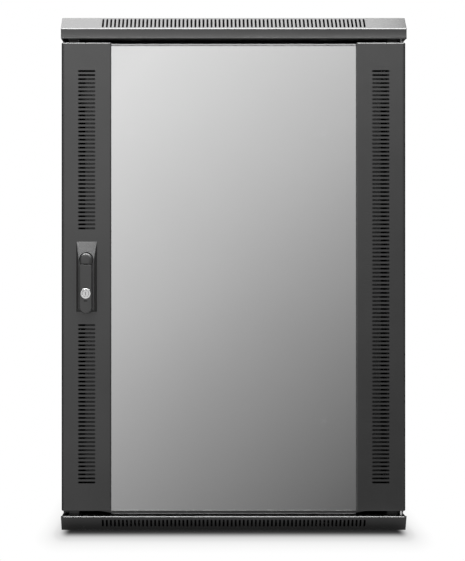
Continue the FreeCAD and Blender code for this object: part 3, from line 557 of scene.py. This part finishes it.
def pierce(bm, centre, radius):
    """Punch a round hole in the flat face around a point."""
    centre = Vector(centre)
    bm.normal_update()
    face = next(item for item in bm.faces if holds(item, centre))
    rim = list(face.edges)
    stand = Matrix.Translation(centre) @ face.normal.to_track_quat("Z", "Y").to_matrix().to_4x4()
    ring = bmesh.ops.create_circle(bm, segments=HOLE_POINTS, radius=radius, matrix=stand)["verts"]
    ring_edges = [edge for edge in bm.edges if edge.verts[0] in ring and edge.verts[1] in ring]
    bmesh.ops.delete(bm, geom=[face], context="FACES_ONLY")
    fill(bm, rim, ring_edges)


def round_bends(bm, radius, chosen=lambda edge: True, sides=3, over=20):
    """Round the bends of a sheet: its edges between two faces that meet at more than an angle."""
    bends = [edge for edge in bm.edges if len(edge.link_faces) == 2
             and edge.calc_face_angle() > math.radians(over) and chosen(edge)]
    bmesh.ops.bevel(bm, geom=bends, offset=radius, offset_type="OFFSET", affect="EDGES", segments=sides,
                    profile=0.5, material=-1, clamp_overlap=False)


def face_out(bm, direction):
    """Turn all faces the same way, with the sheet's larger part looking along a direction."""
    bmesh.ops.remove_doubles(bm, verts=bm.verts, dist=TINY)
    bmesh.ops.recalc_face_normals(bm, faces=bm.faces)
    outward = sum(face.normal.dot(Vector(direction)) * face.calc_area() for face in bm.faces)
    if outward < 0:
        bmesh.ops.reverse_faces(bm, faces=bm.faces)


# %% Pieces


def piece(name, bm, body, slot, *replaced, wall=None):
    """Put a new piece into the scene in its finish, moving with its body. A sheet gets its thickness,
    and any other piece is smooth where it curves."""
    thing = make_object(name, bm)
    thing.data.materials.append(finishes[slot])
    if wall:
        sheet = thing.modifiers.new("sheet", "SOLIDIFY")
        sheet.thickness = wall
        sheet.offset = -1
    else:
        thing.data.shade_smooth()
        thing.data.set_sharp_from_angle(angle=SHARP_ANGLE)
        flat = thing.modifiers.new("flat_faces", "WEIGHTED_NORMAL")
        flat.keep_sharp = True
    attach(thing, body)
    if replaced:
        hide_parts(*replaced)
    print("made", name, len(thing.data.polygons), "faces")
    return thing


# %% [markdown]
# ## The door stiles
#
# Each stile is a shallow channel: a face with a long row of slots, a deep outer edge that turns back
# inwards, a step towards the pane, and closed ends. On the handle's side the row is left out beside the
# handle. The outer bend is wide and stays dark. The bends at the ends are tighter and catch the lamp.

# %% Stiles
STILE_SLOT = 30 * MM
SLOT_WIDTH = 3.5 * MM
SLOT_PITCH = 7 * MM
SLOT_CELL = 36 * MM
STILE_SLOTS = 103
HALF_ROW_SLOTS = 40
PANE_STEP = 5 * MM
PANE_FLANGE = 27 * MM
STILE_LIP = 18 * MM
SPINDLE_HOLE = 4.6 * MM
HINGE_HOLE = 2.8 * MM
STILE_BEND = 2 * MM
OUTER_BEND = 5.5 * MM
STILE_SPREAD = {-1: 1.8 * MM, 1: 1.15 * MM}

pivots = {joint["name"]: joint.get("pos_m") for joint in frame["record"]["behaviour"]["joints"]}
hinge_x, hinge_y, _ = pivots["door_swing"]
spindle_x, _, spindle_z = pivots["handle_turn"]


def slot_rows(side):
    """The slots of one stile, flat: one long row, or two rows with a plain piece between them."""
    if side > 0:
        return slotted_strip(STILE_SLOT, SLOT_WIDTH, SLOT_PITCH, STILE_SLOTS, SLOT_CELL)
    bm = slotted_strip(STILE_SLOT, SLOT_WIDTH, SLOT_PITCH, HALF_ROW_SLOTS, SLOT_CELL)
    shift = (STILE_SLOTS - HALF_ROW_SLOTS) / 2 * SLOT_PITCH
    everything = bm.verts[:] + bm.edges[:] + bm.faces[:]
    bmesh.ops.translate(bm, verts=bm.verts, vec=(0, -shift, 0))
    copied = bmesh.ops.duplicate(bm, geom=everything)["geom"]
    upper = [item for item in copied if isinstance(item, bmesh.types.BMVert)]
    bmesh.ops.translate(bm, verts=upper, vec=(0, shift * 2, 0))
    inner_end = shift - HALF_ROW_SLOTS / 2 * SLOT_PITCH
    close(bm, lambda spot: abs(abs(spot.y) - inner_end) < TINY)
    return bm


def make_stile(name, side):
    """One stile. The side is -1 on the handle's side and 1 on the hinge side."""
    low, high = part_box(name)
    inner, outer = (low.x, high.x) if side > 0 else (high.x, low.x)
    middle_x, middle_z = (inner + outer) / 2, (low.z + high.z) / 2
    outer += side * STILE_SPREAD[side]
    bm = slot_rows(side)
    stand = Matrix.Translation((middle_x, low.y, middle_z)) @ UPRIGHT
    bmesh.ops.transform(bm, matrix=stand, verts=bm.verts)
    if side < 0:
        pierce(bm, (spindle_x, low.y, spindle_z), SPINDLE_HOLE)
    half_row = STILE_SLOTS / 2 * SLOT_PITCH
    margin = (high.z - low.z) / 2 - half_row
    grow(bm, at(z=middle_z + half_row), (0, 0, margin))
    grow(bm, at(z=middle_z - half_row), (0, 0, -margin))
    grow(bm, at(x=middle_x - side * SLOT_CELL / 2), (inner + side * SLOT_CELL / 2 - middle_x, 0, 0),
         (0, PANE_STEP, 0), (side * PANE_FLANGE, 0, 0))
    depth = high.y - low.y
    grow(bm, at(x=middle_x + side * SLOT_CELL / 2), (outer - side * SLOT_CELL / 2 - middle_x, 0, 0),
         (0, depth, 0), (-side * STILE_LIP, 0, 0))
    for end in (low.z, high.z):
        grow(bm, at(y=low.y, z=end), (0, depth, 0))
    face_out(bm, (0, -1, 0))
    corner = at(x=outer, y=low.y)
    round_bends(bm, OUTER_BEND, lambda edge: all(corner(vert.co) for vert in edge.verts), sides=4)
    if side > 0:
        for end in (low.z, high.z):
            pierce(bm, (hinge_x, hinge_y, end), HINGE_HOLE)
    face_out(bm, (0, -1, 0))
    round_bends(bm, STILE_BEND, over=30)
    return piece(name + "_sheet", bm, "door", "paint", name, wall=SHEET)


make_stile("door_stile_left", -1)
make_stile("door_stile_right", 1)

# %% [markdown]
# ## The covers
#
# The top cover has a short upright face that is hollowed a little, a sloping face with 66 slots, a flat
# top with a cable entry, and turned-in lips below. The bottom cover is a shallow tray whose slotted front
# leans back towards the floor. Both are one folded sheet with closed ends.

# %% Cover helpers
COVER_SLOTS = 66
COVER_LIP = 22 * MM
SIDE_LIP = 11 * MM
ENTRY_FRONT, ENTRY_BACK, ENTRY_HALF = 60 * MM, 160 * MM, 150 * MM


def slope_between(near, far):
    """Where a flat strip stands between two lines across the cabinet, and how wide it is."""
    near, far = Vector((0, *near)), Vector((0, *far))
    run = far - near
    across = Vector((-1, 0, 0))
    stand = Matrix((run.normalized(), across, run.normalized().cross(across))).transposed().to_4x4()
    stand.translation = (near + far) / 2
    return stand, run.length


def slotted_slope(near, far, slot_length, slot_width, notch):
    """A slotted strip between two lines across the cabinet, each given by its depth and height. Its ends
    are in two steps, so that lips can stop at the corner notches."""
    stand, width = slope_between(near, far)
    bm = slotted_strip(slot_length, slot_width, SLOT_PITCH, COVER_SLOTS, width)
    bmesh.ops.transform(bm, matrix=stand, verts=bm.verts)
    half_row = COVER_SLOTS / 2 * SLOT_PITCH
    for side in (-1, 1):
        grow(bm, at(x=side * half_row), (side * (cad_high.x - notch - half_row), 0, 0), (side * notch, 0, 0))
    return bm


def between_notches(depth, level, notch):
    """A test for points on a line across the cabinet, between the two corner notches."""
    on_line = at(y=depth, z=level)
    return lambda spot: on_line(spot) and abs(spot.x) < cad_high.x - notch + TINY


def cable_entry(bm, level):
    """Open the cable entry in the flat part of a cover."""
    plate = [face for face in bm.faces if all(abs(vert.co.z - level) < TINY
             and ENTRY_FRONT - TINY < vert.co.y < ENTRY_BACK + TINY for vert in face.verts)]
    for side in (-1, 1):
        parts = plate + [edge for face in plate for edge in face.edges]
        parts += [vert for face in plate for vert in face.verts]
        cut = bmesh.ops.bisect_plane(bm, geom=list(dict.fromkeys(parts)), dist=TINY,
                                     plane_co=(side * ENTRY_HALF, 0, 0), plane_no=(1, 0, 0))["geom"]
        plate = [item for item in cut if isinstance(item, bmesh.types.BMFace)]
    inside = [face for face in plate if abs(face.calc_center_median().x) < ENTRY_HALF]
    bmesh.ops.delete(bm, geom=inside, context="FACES")


def close_sides(bm, rim, lip, notch):
    """Close both ends of a cover and turn their free edge inwards, between the corner notches."""
    bmesh.ops.remove_doubles(bm, verts=bm.verts, dist=TINY)
    for side in (-1, 1):
        edge = side * cad_high.x
        close(bm, at(x=edge))
        for corner in (front_plane + notch, cad_high.y - notch):
            end = [face for face in bm.faces if all(at(x=edge)(vert.co) for vert in face.verts)]
            parts = end + [item for face in end for item in (*face.edges, *face.verts)]
            bmesh.ops.bisect_plane(bm, geom=list(dict.fromkeys(parts)), dist=TINY, plane_co=(0, corner, 0),
                                   plane_no=(0, 1, 0))
        grow(bm, lambda spot: at(x=edge, z=rim)(spot) and abs(spot.y) < cad_high.y - notch + TINY,
             (-side * lip, 0, 0))


# %% Top cover
TOP_SKIRT = 17.5 * MM
SKIRT_ROWS = 6
SKIRT_HOLLOW = 0.6 * MM
TOP_SLOPE = 23 * MM
TOP_SLOT = 25.5 * MM
TOP_SLOT_WIDTH = 3.3 * MM
COVER_BEND = 1.2 * MM
SLOPE_BEND = 0.9 * MM
TOP_NOTCH = 1.7 * MM
TOP_HINGE_HOLE = 4.2 * MM
low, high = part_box("top_cover")
bend_z, crest_y = low.z + TOP_SKIRT, low.y + TOP_SLOPE
bm = slotted_slope((low.y, bend_z), (crest_y, high.z), TOP_SLOT, TOP_SLOT_WIDTH, TOP_NOTCH)
shares = [row / SKIRT_ROWS for row in range(SKIRT_ROWS + 1)]
hollow = [SKIRT_HOLLOW * 4 * share * (1 - share) for share in shares]
skirt_steps = [(0, after - before, -TOP_SKIRT / SKIRT_ROWS) for before, after in zip(hollow, hollow[1:])]
grow(bm, at(y=low.y, z=bend_z), *skirt_steps)
grow(bm, between_notches(low.y, low.z, TOP_NOTCH), (0, COVER_LIP, 0))
grow(bm, at(y=crest_y, z=high.z), (0, ENTRY_FRONT - crest_y, 0), (0, ENTRY_BACK - ENTRY_FRONT, 0),
     (0, high.y - ENTRY_BACK, 0), (0, 0, low.z - high.z))
cable_entry(bm, high.z)
close_sides(bm, low.z, SIDE_LIP, TOP_NOTCH)
pierce(bm, (hinge_x, hinge_y, low.z), TOP_HINGE_HOLE)
face_out(bm, (0, 0, 1))
round_bends(bm, COVER_BEND, over=60)
round_bends(bm, SLOPE_BEND, sides=1, over=35)
piece("top_cover_sheet", bm, "cabinet", "paint", "top_cover", wall=SHEET)

# %% Bottom cover
TOE_SETBACK = 12 * MM
BOTTOM_SLOT = 14.3 * MM
RIM_BEND = 3.2 * MM
RIM_NOTCH = 4.6 * MM
CORNER_BEND = 1.2 * MM
RIM_DROP = 0.4 * MM
TOE_BEND = 0.8 * MM
low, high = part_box("bottom_cover")
high.z -= RIM_DROP
toe_y = low.y + TOE_SETBACK
bm = slotted_slope((toe_y, low.z), (low.y, high.z), BOTTOM_SLOT, SLOT_WIDTH, RIM_NOTCH)
grow(bm, between_notches(low.y, high.z, RIM_NOTCH), (0, COVER_LIP, 0))
grow(bm, at(y=toe_y, z=low.z), (0, ENTRY_FRONT - toe_y, 0), (0, ENTRY_BACK - ENTRY_FRONT, 0),
     (0, high.y - ENTRY_BACK, 0), (0, 0, high.z - low.z))
cable_entry(bm, low.z)
close_sides(bm, high.z, SIDE_LIP, RIM_NOTCH)
grow(bm, between_notches(high.y, high.z, RIM_NOTCH), (0, 0, RIM_DROP))
face_out(bm, (0, 0, -1))
# First the upright corners, then the rim, then the edges along the floor.
round_bends(bm, CORNER_BEND, lambda edge: abs(edge.verts[0].co.z - edge.verts[1].co.z) > TINY)
round_bends(bm, RIM_BEND, lambda edge: min(vert.co.z for vert in edge.verts) > high.z - TINY)
round_bends(bm, TOE_BEND, lambda edge: max(vert.co.z for vert in edge.verts) < low.z + TINY)
piece("bottom_cover_sheet", bm, "cabinet", "paint", "bottom_cover", wall=SHEET)

# %% [markdown]
# ## The rail over the pane
#
# Between the stiles a narrow rail closes the door above the glass. Its front edge leans back, so it faces
# the lamp and shows as a light line along the top of the pane.

# %% Top rail
RAIL_LIP = 4.4 * MM
RAIL_LEAN = 0.93 * MM
RAIL_BACK = 1.4 * MM
RAIL_BEND = 0.8 * MM
RAIL_WALL = 1.2 * MM
low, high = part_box("door_top_rail")
pane_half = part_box("door_stile_right")[0].x
lip_front = low.y + RAIL_BACK
stand, width = slope_between((lip_front, high.z - RAIL_LIP), (lip_front + RAIL_LEAN, high.z))
bm = bmesh.new()
face_size = Matrix.Diagonal((width, pane_half * 2, 1, 1))
bmesh.ops.create_grid(bm, x_segments=1, y_segments=1, size=0.5, matrix=stand @ face_size)
web_front = lip_front + RAIL_LEAN
grow(bm, at(y=web_front, z=high.z), (0, high.y - web_front, 0), (0, 0, low.z - high.z))
for side in (-1, 1):
    grow(bm, lambda spot: abs(spot.x - side * pane_half) < TINY and spot.y > web_front - TINY,
         (side * (high.x - pane_half), 0, 0))
face_out(bm, (0, 0, 1))
round_bends(bm, RAIL_BEND)
piece("door_top_rail_sheet", bm, "door", "paint", "door_top_rail", wall=RAIL_WALL)

# %% [markdown]
# ## The pane
#
# The glass is one sheet behind the door's front. Its cut edges are ground to a small bevel. It runs down
# to the door's lower edge, where a rail stands behind it. The rail's front is turned down past the glass
# and then leans forward, so it shows as a thin grey line.

# %% Pane
PANE_SHIFT = 0.6 * MM
PANE_DROP = 1.9 * MM
PANE_EDGE = 0.5 * MM
low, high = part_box("door_glass")
low.z -= PANE_DROP
low.y, high.y = low.y - PANE_SHIFT, high.y - PANE_SHIFT
bm = bmesh.new()
size = Matrix.Diagonal((*(high - low), 1))
bmesh.ops.create_cube(bm, size=1, matrix=Matrix.Translation((low + high) / 2) @ size)
bmesh.ops.bevel(bm, geom=bm.edges[:], offset=PANE_EDGE, offset_type="OFFSET", affect="EDGES", segments=1,
                profile=0.5, material=-1)
piece("door_pane", bm, "door", "glass", "door_glass")
pane_back = high.y

# %% Lower rail
HEM_DROP = 3.9 * MM
HEM_LIP = 2.2 * MM
HEM_LEAN = 1.12 * MM
HEM_BEND = 1 * MM
low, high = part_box("door_bottom_rail")
bm = bmesh.new()
stand, width = slope_between((pane_back, low.z), (high.y, low.z))
face_size = Matrix.Diagonal((width, high.x * 2, 1, 1))
bmesh.ops.create_grid(bm, x_segments=1, y_segments=1, size=0.5, matrix=stand @ face_size)
grow(bm, at(y=high.y, z=low.z), (0, 0, high.z - low.z))
grow(bm, at(y=pane_back, z=low.z), (0, 0, -HEM_DROP), (0, -HEM_LEAN, -HEM_LIP))
for end in (-high.x, high.x):
    hem = [vert for vert in bm.verts if at(x=end)(vert.co) and vert.co.z < low.z - TINY]
    bmesh.ops.translate(bm, verts=hem, vec=(math.copysign(pane_half, end) - end, 0, 0))
face_out(bm, (0, -1, 0))
round_bends(bm, HEM_BEND, over=70)
piece("door_bottom_rail_sheet", bm, "door", "paint", "door_bottom_rail", wall=SHEET)

# %% [markdown]
# ## The swing handle
#
# The handle is a moulding on the stile: a long base with sloping sides and a ramp at its upper end, a
# pivot head in a round pocket, and a lever with the key lock. The lever swings out on a pin under the
# head, then turns with it. Each form is a skin through a row of outlines, with the last outlines drawn
# in to round the front edge.

# %% Handle helpers
ARC_POINTS = 29
CIRCLE_POINTS = 32


def loop(bm, points):
    """A closed ring of edges through points."""
    ring = bmesh.ops.create_circle(bm, segments=len(points), radius=1)["verts"]
    for vert, point in zip(ring, points):
        vert.co = point
    return [edge for edge in bm.edges if edge.verts[0] in ring and edge.verts[1] in ring]


def loft(bm, outlines):
    """A skin through a row of outlines with as many points each. Gives back its two end loops."""
    loops = [loop(bm, points) for points in outlines]
    for near, far in zip(loops, loops[1:]):
        bmesh.ops.bridge_loops(bm, edges=near + far)
    return loops[0], loops[-1]


def arc(across, up, radius, first, last, count):
    """Points along an arc between two angles, in the plane of the door."""
    turns = [math.radians(first + (last - first) * step / (count - 1)) for step in range(count)]
    return [(across + radius * math.cos(turn), up + radius * math.sin(turn)) for turn in turns]


def circle(across, up, radius, count=CIRCLE_POINTS):
    """Points round a full circle."""
    return arc(across, up, radius, 0, 360 - 360 / count, count)


def rectangle(across, up, half_across, half_up):
    """The corners of a rectangle in the plane of the door."""
    signs = ((1, 1), (-1, 1), (-1, -1), (1, -1))
    return [(across + a * half_across, up + b * half_up) for a, b in signs]


def lift(points, level):
    """The same points at a depth."""
    return [(across, level, up) for across, up in points]


def rounded(shape, front, radius, steps=4):
    """Outlines of a shape round its front edge, from its full size to its front."""
    rows = []
    for step in range(steps + 1):
        turn = math.pi / 2 * step / steps
        inset = radius * (1 - math.cos(turn))
        rows.append(lift(shape(inset), front + radius * (1 - math.sin(turn))))
    return rows


# %% Handle base
BASE_TOP_HALF = 13.5 * MM
BASE_TOP_LOW = 4 * MM
RAMP_RUN = 34 * MM
POCKET_RADIUS = 12.4 * MM
POCKET_DEPTH = 9 * MM
POCKET_TAPER = 0.96
POCKET_CLEAR = 0.1 * MM
POCKET_LOWER_POINTS = 21
BASE_BEND = 0.8 * MM
low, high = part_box("handle_housing")
face_y, crown_y = high.y, low.y
half = (high.x - low.x) / 2
ramp_z, foot_z = high.z - RAMP_RUN, low.z + BASE_TOP_LOW


def on_base(points):
    """Points on the top of the base: on the flat part, or on the ramp above it."""
    placed = []
    for across, up in points:
        share = max(0.0, (up - ramp_z) / RAMP_RUN)
        placed.append((across, crown_y + (face_y - crown_y) * share, up))
    return placed


dip = math.degrees(math.asin((ramp_z - spindle_z) / POCKET_RADIUS))
upper_rim = arc(spindle_x, spindle_z, POCKET_RADIUS, dip, 180 - dip, ARC_POINTS)
lower_rim = arc(spindle_x, spindle_z, POCKET_RADIUS, 180 - dip, 360 + dip, POCKET_LOWER_POINTS)
left, right = spindle_x - half, spindle_x + half
top_left, top_right = spindle_x - BASE_TOP_HALF, spindle_x + BASE_TOP_HALF
bm = bmesh.new()
fill(bm, loop(bm, on_base([(top_right, ramp_z), *upper_rim, (top_left, ramp_z), (left, high.z),
                           (right, high.z)])))
fill(bm, loop(bm, on_base([(top_left, ramp_z), *lower_rim, (top_right, ramp_z), (top_right, foot_z),
                           (top_left, foot_z)])))
for edge_x, top_x in ((left, top_left), (right, top_right)):
    fill(bm, loop(bm, [(edge_x, face_y, low.z), (edge_x, face_y, high.z), (top_x, crown_y, ramp_z),
                       (top_x, crown_y, foot_z)]))
fill(bm, loop(bm, [(left, face_y, low.z), (right, face_y, low.z), (top_right, crown_y, foot_z),
                   (top_left, crown_y, foot_z)]))
rim = upper_rim + lower_rim[1:-1]
sunk = [(spindle_x + (across - spindle_x) * POCKET_TAPER, spindle_z + (up - spindle_z) * POCKET_TAPER)
        for across, up in rim]
_, floor_loop = loft(bm, [on_base(rim), lift(sunk, crown_y + POCKET_DEPTH)])
fill(bm, floor_loop, loop(bm, lift(circle(spindle_x, spindle_z, SPINDLE_HOLE), crown_y + POCKET_DEPTH)))
bmesh.ops.dissolve_limit(bm, angle_limit=FLAT_ANGLE, verts=bm.verts, edges=bm.edges)
face_out(bm, (0, -1, 0))
axis_spot = Vector((spindle_x, 0, spindle_z))


def off_pocket(edge):
    """True for the outer edges of the base, and not for the pocket's."""
    middle = (edge.verts[0].co + edge.verts[1].co) / 2
    return (Vector((middle.x, 0, middle.z)) - axis_spot).length > POCKET_RADIUS + POCKET_CLEAR


round_bends(bm, BASE_BEND, off_pocket)
piece("handle_base", bm, "door", "handle", "handle_housing")

# %% Pivot head
HEAD_HALF = 10.6 * MM
HEAD_LOW = 462.7 * MM
HEAD_ROUND = 2.2 * MM
HEAD_DOME = 2.7
HEAD_SUNK = 3.2 * MM
HEAD_CLEAR = 0.4 * MM
HEAD_STEPS = 6
SHAFT_RADIUS = 4 * MM
SHAFT_POINTS = 24
SHAFT_SQUARE = 2.8 * MM
low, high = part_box("handle_spindle")
head_back = crown_y - HEAD_CLEAR


def head(inset):
    """The pivot head: round above, with a domed front, and flat below."""
    edge = HEAD_HALF - inset * HEAD_DOME
    return arc(spindle_x, spindle_z, edge, 0, 180, ARC_POINTS) + [
        (spindle_x - edge, HEAD_LOW + inset), (spindle_x + edge, HEAD_LOW + inset)]


bm = bmesh.new()
head_front = rounded(head, low.y + HEAD_SUNK, HEAD_ROUND, HEAD_STEPS)
back_loop, front_loop = loft(bm, [lift(head(0), head_back)] + head_front)
fill(bm, front_loop)
fill(bm, back_loop)
shaft = circle(spindle_x, spindle_z, SHAFT_RADIUS, SHAFT_POINTS)
shaft_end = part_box("latch_cam")[0].y
_, end_loop = loft(bm, [lift(shaft, head_back), lift(shaft, shaft_end)])
fill(bm, end_loop)
square = rectangle(spindle_x, spindle_z, SHAFT_SQUARE, SHAFT_SQUARE)
_, tail_loop = loft(bm, [lift(square, shaft_end), lift(square, high.y)])
fill(bm, tail_loop)
bmesh.ops.recalc_face_normals(bm, faces=bm.faces)
piece("handle_head", bm, "handle_pivot", "handle", "handle_spindle")

# %% Lever
LEVER_HALF = 10.8 * MM
LEVER_TOP = 462.2 * MM
LEVER_ROUND = 1.6 * MM
LEVER_TOP_SHARE = 0.3
LOCK_HOLE = 9.3 * MM
TAB_SLOT = (3.2 * MM, 0.8 * MM)
TAB_DROP = 12.6 * MM
low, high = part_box("handle_lever")
_, _, lock_z = pivots["key_turn"]
tip_z = low.z + LEVER_HALF


def grip(inset):
    """The lever: square above, with a nearly sharp edge, and round below."""
    edge = LEVER_HALF - inset
    top = LEVER_TOP - inset * LEVER_TOP_SHARE
    tip = arc(spindle_x, tip_z, edge, 180, 360, ARC_POINTS)
    return [(spindle_x + edge, top), (spindle_x - edge, top), *tip]


bm = bmesh.new()
back_loop, front_loop = loft(bm, [lift(grip(0), high.y)] + rounded(grip, low.y, LEVER_ROUND))
keyhole = circle(spindle_x, lock_z, LOCK_HOLE)
tab = rectangle(spindle_x, lock_z - TAB_DROP, *TAB_SLOT)
openings = [loft(bm, [lift(points, low.y), lift(points, high.y)]) for points in (keyhole, tab)]
fill(bm, front_loop, *[ends[0] for ends in openings])
fill(bm, back_loop, *[ends[1] for ends in openings])
bmesh.ops.recalc_face_normals(bm, faces=bm.faces)
piece("handle_grip", bm, "lever", "handle", "handle_lever")

# %% Lock
# Each step of the turned face has a radius and a depth in millimetres.
LOCK_STEPS = ((9.0, 0.6), (8.7, 0.2), (8.3, 0.0), (6.3, 0.2), (6.0, 0.6), (5.6, 0.8), (5.3, 0.3))
KEYWAY = (0.85 * MM, 3.0 * MM)
KEYWAY_DEPTH = 9 * MM
low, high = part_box("lock_cylinder")
bm = bmesh.new()
rows = [lift(circle(spindle_x, lock_z, LOCK_STEPS[0][0] * MM), high.y)]
rows += [lift(circle(spindle_x, lock_z, reach * MM), low.y + depth * MM) for reach, depth in LOCK_STEPS]
back_loop, plug_loop = loft(bm, rows)
key = rectangle(spindle_x, lock_z, *KEYWAY)
plug_y = low.y + LOCK_STEPS[-1][1] * MM
key_front, key_back = loft(bm, [lift(key, plug_y), lift(key, plug_y + KEYWAY_DEPTH)])
fill(bm, plug_loop, key_front)
fill(bm, key_back)
fill(bm, back_loop)
bmesh.ops.recalc_face_normals(bm, faces=bm.faces)
piece("lock_face", bm, "lock", "lock", "lock_cylinder")

# %% [markdown]
# ## The hinge spring
#
# The upper hinge pin is a bolt held up by a coil spring. The coil is one ring of wire, swept round the
# bolt and raised a little at each step.

# %% Hinge spring
WIRE = 0.45 * MM
WIRE_POINTS = 8
COIL = 3.2 * MM
COIL_TURNS = 6
STEPS_PER_TURN = 20
low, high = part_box("hinge_spring")
rise = high.z - low.z - WIRE * 2
bm = bmesh.new()
start = Matrix.Translation((hinge_x + COIL, hinge_y, low.z + WIRE)) @ Matrix.Rotation(math.pi / 2, 4, "X")
bmesh.ops.create_circle(bm, segments=WIRE_POINTS, radius=WIRE, matrix=start)
steps = COIL_TURNS * STEPS_PER_TURN
bmesh.ops.spin(bm, geom=bm.verts[:] + bm.edges[:], cent=(hinge_x, hinge_y, 0), axis=(0, 0, 1),
               dvec=(0, 0, rise / steps), angle=math.tau * COIL_TURNS, steps=steps, use_duplicate=False)
bmesh.ops.holes_fill(bm, edges=[edge for edge in bm.edges if edge.is_boundary])
bmesh.ops.recalc_face_normals(bm, faces=bm.faces)
spring = piece("hinge_coil", bm, "door", "zinc", "hinge_spring")
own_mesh(spring)

# %% [markdown]
# ## Sizes
#
# The last step takes the box of the dressed model.

# %% Sizes
low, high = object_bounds()
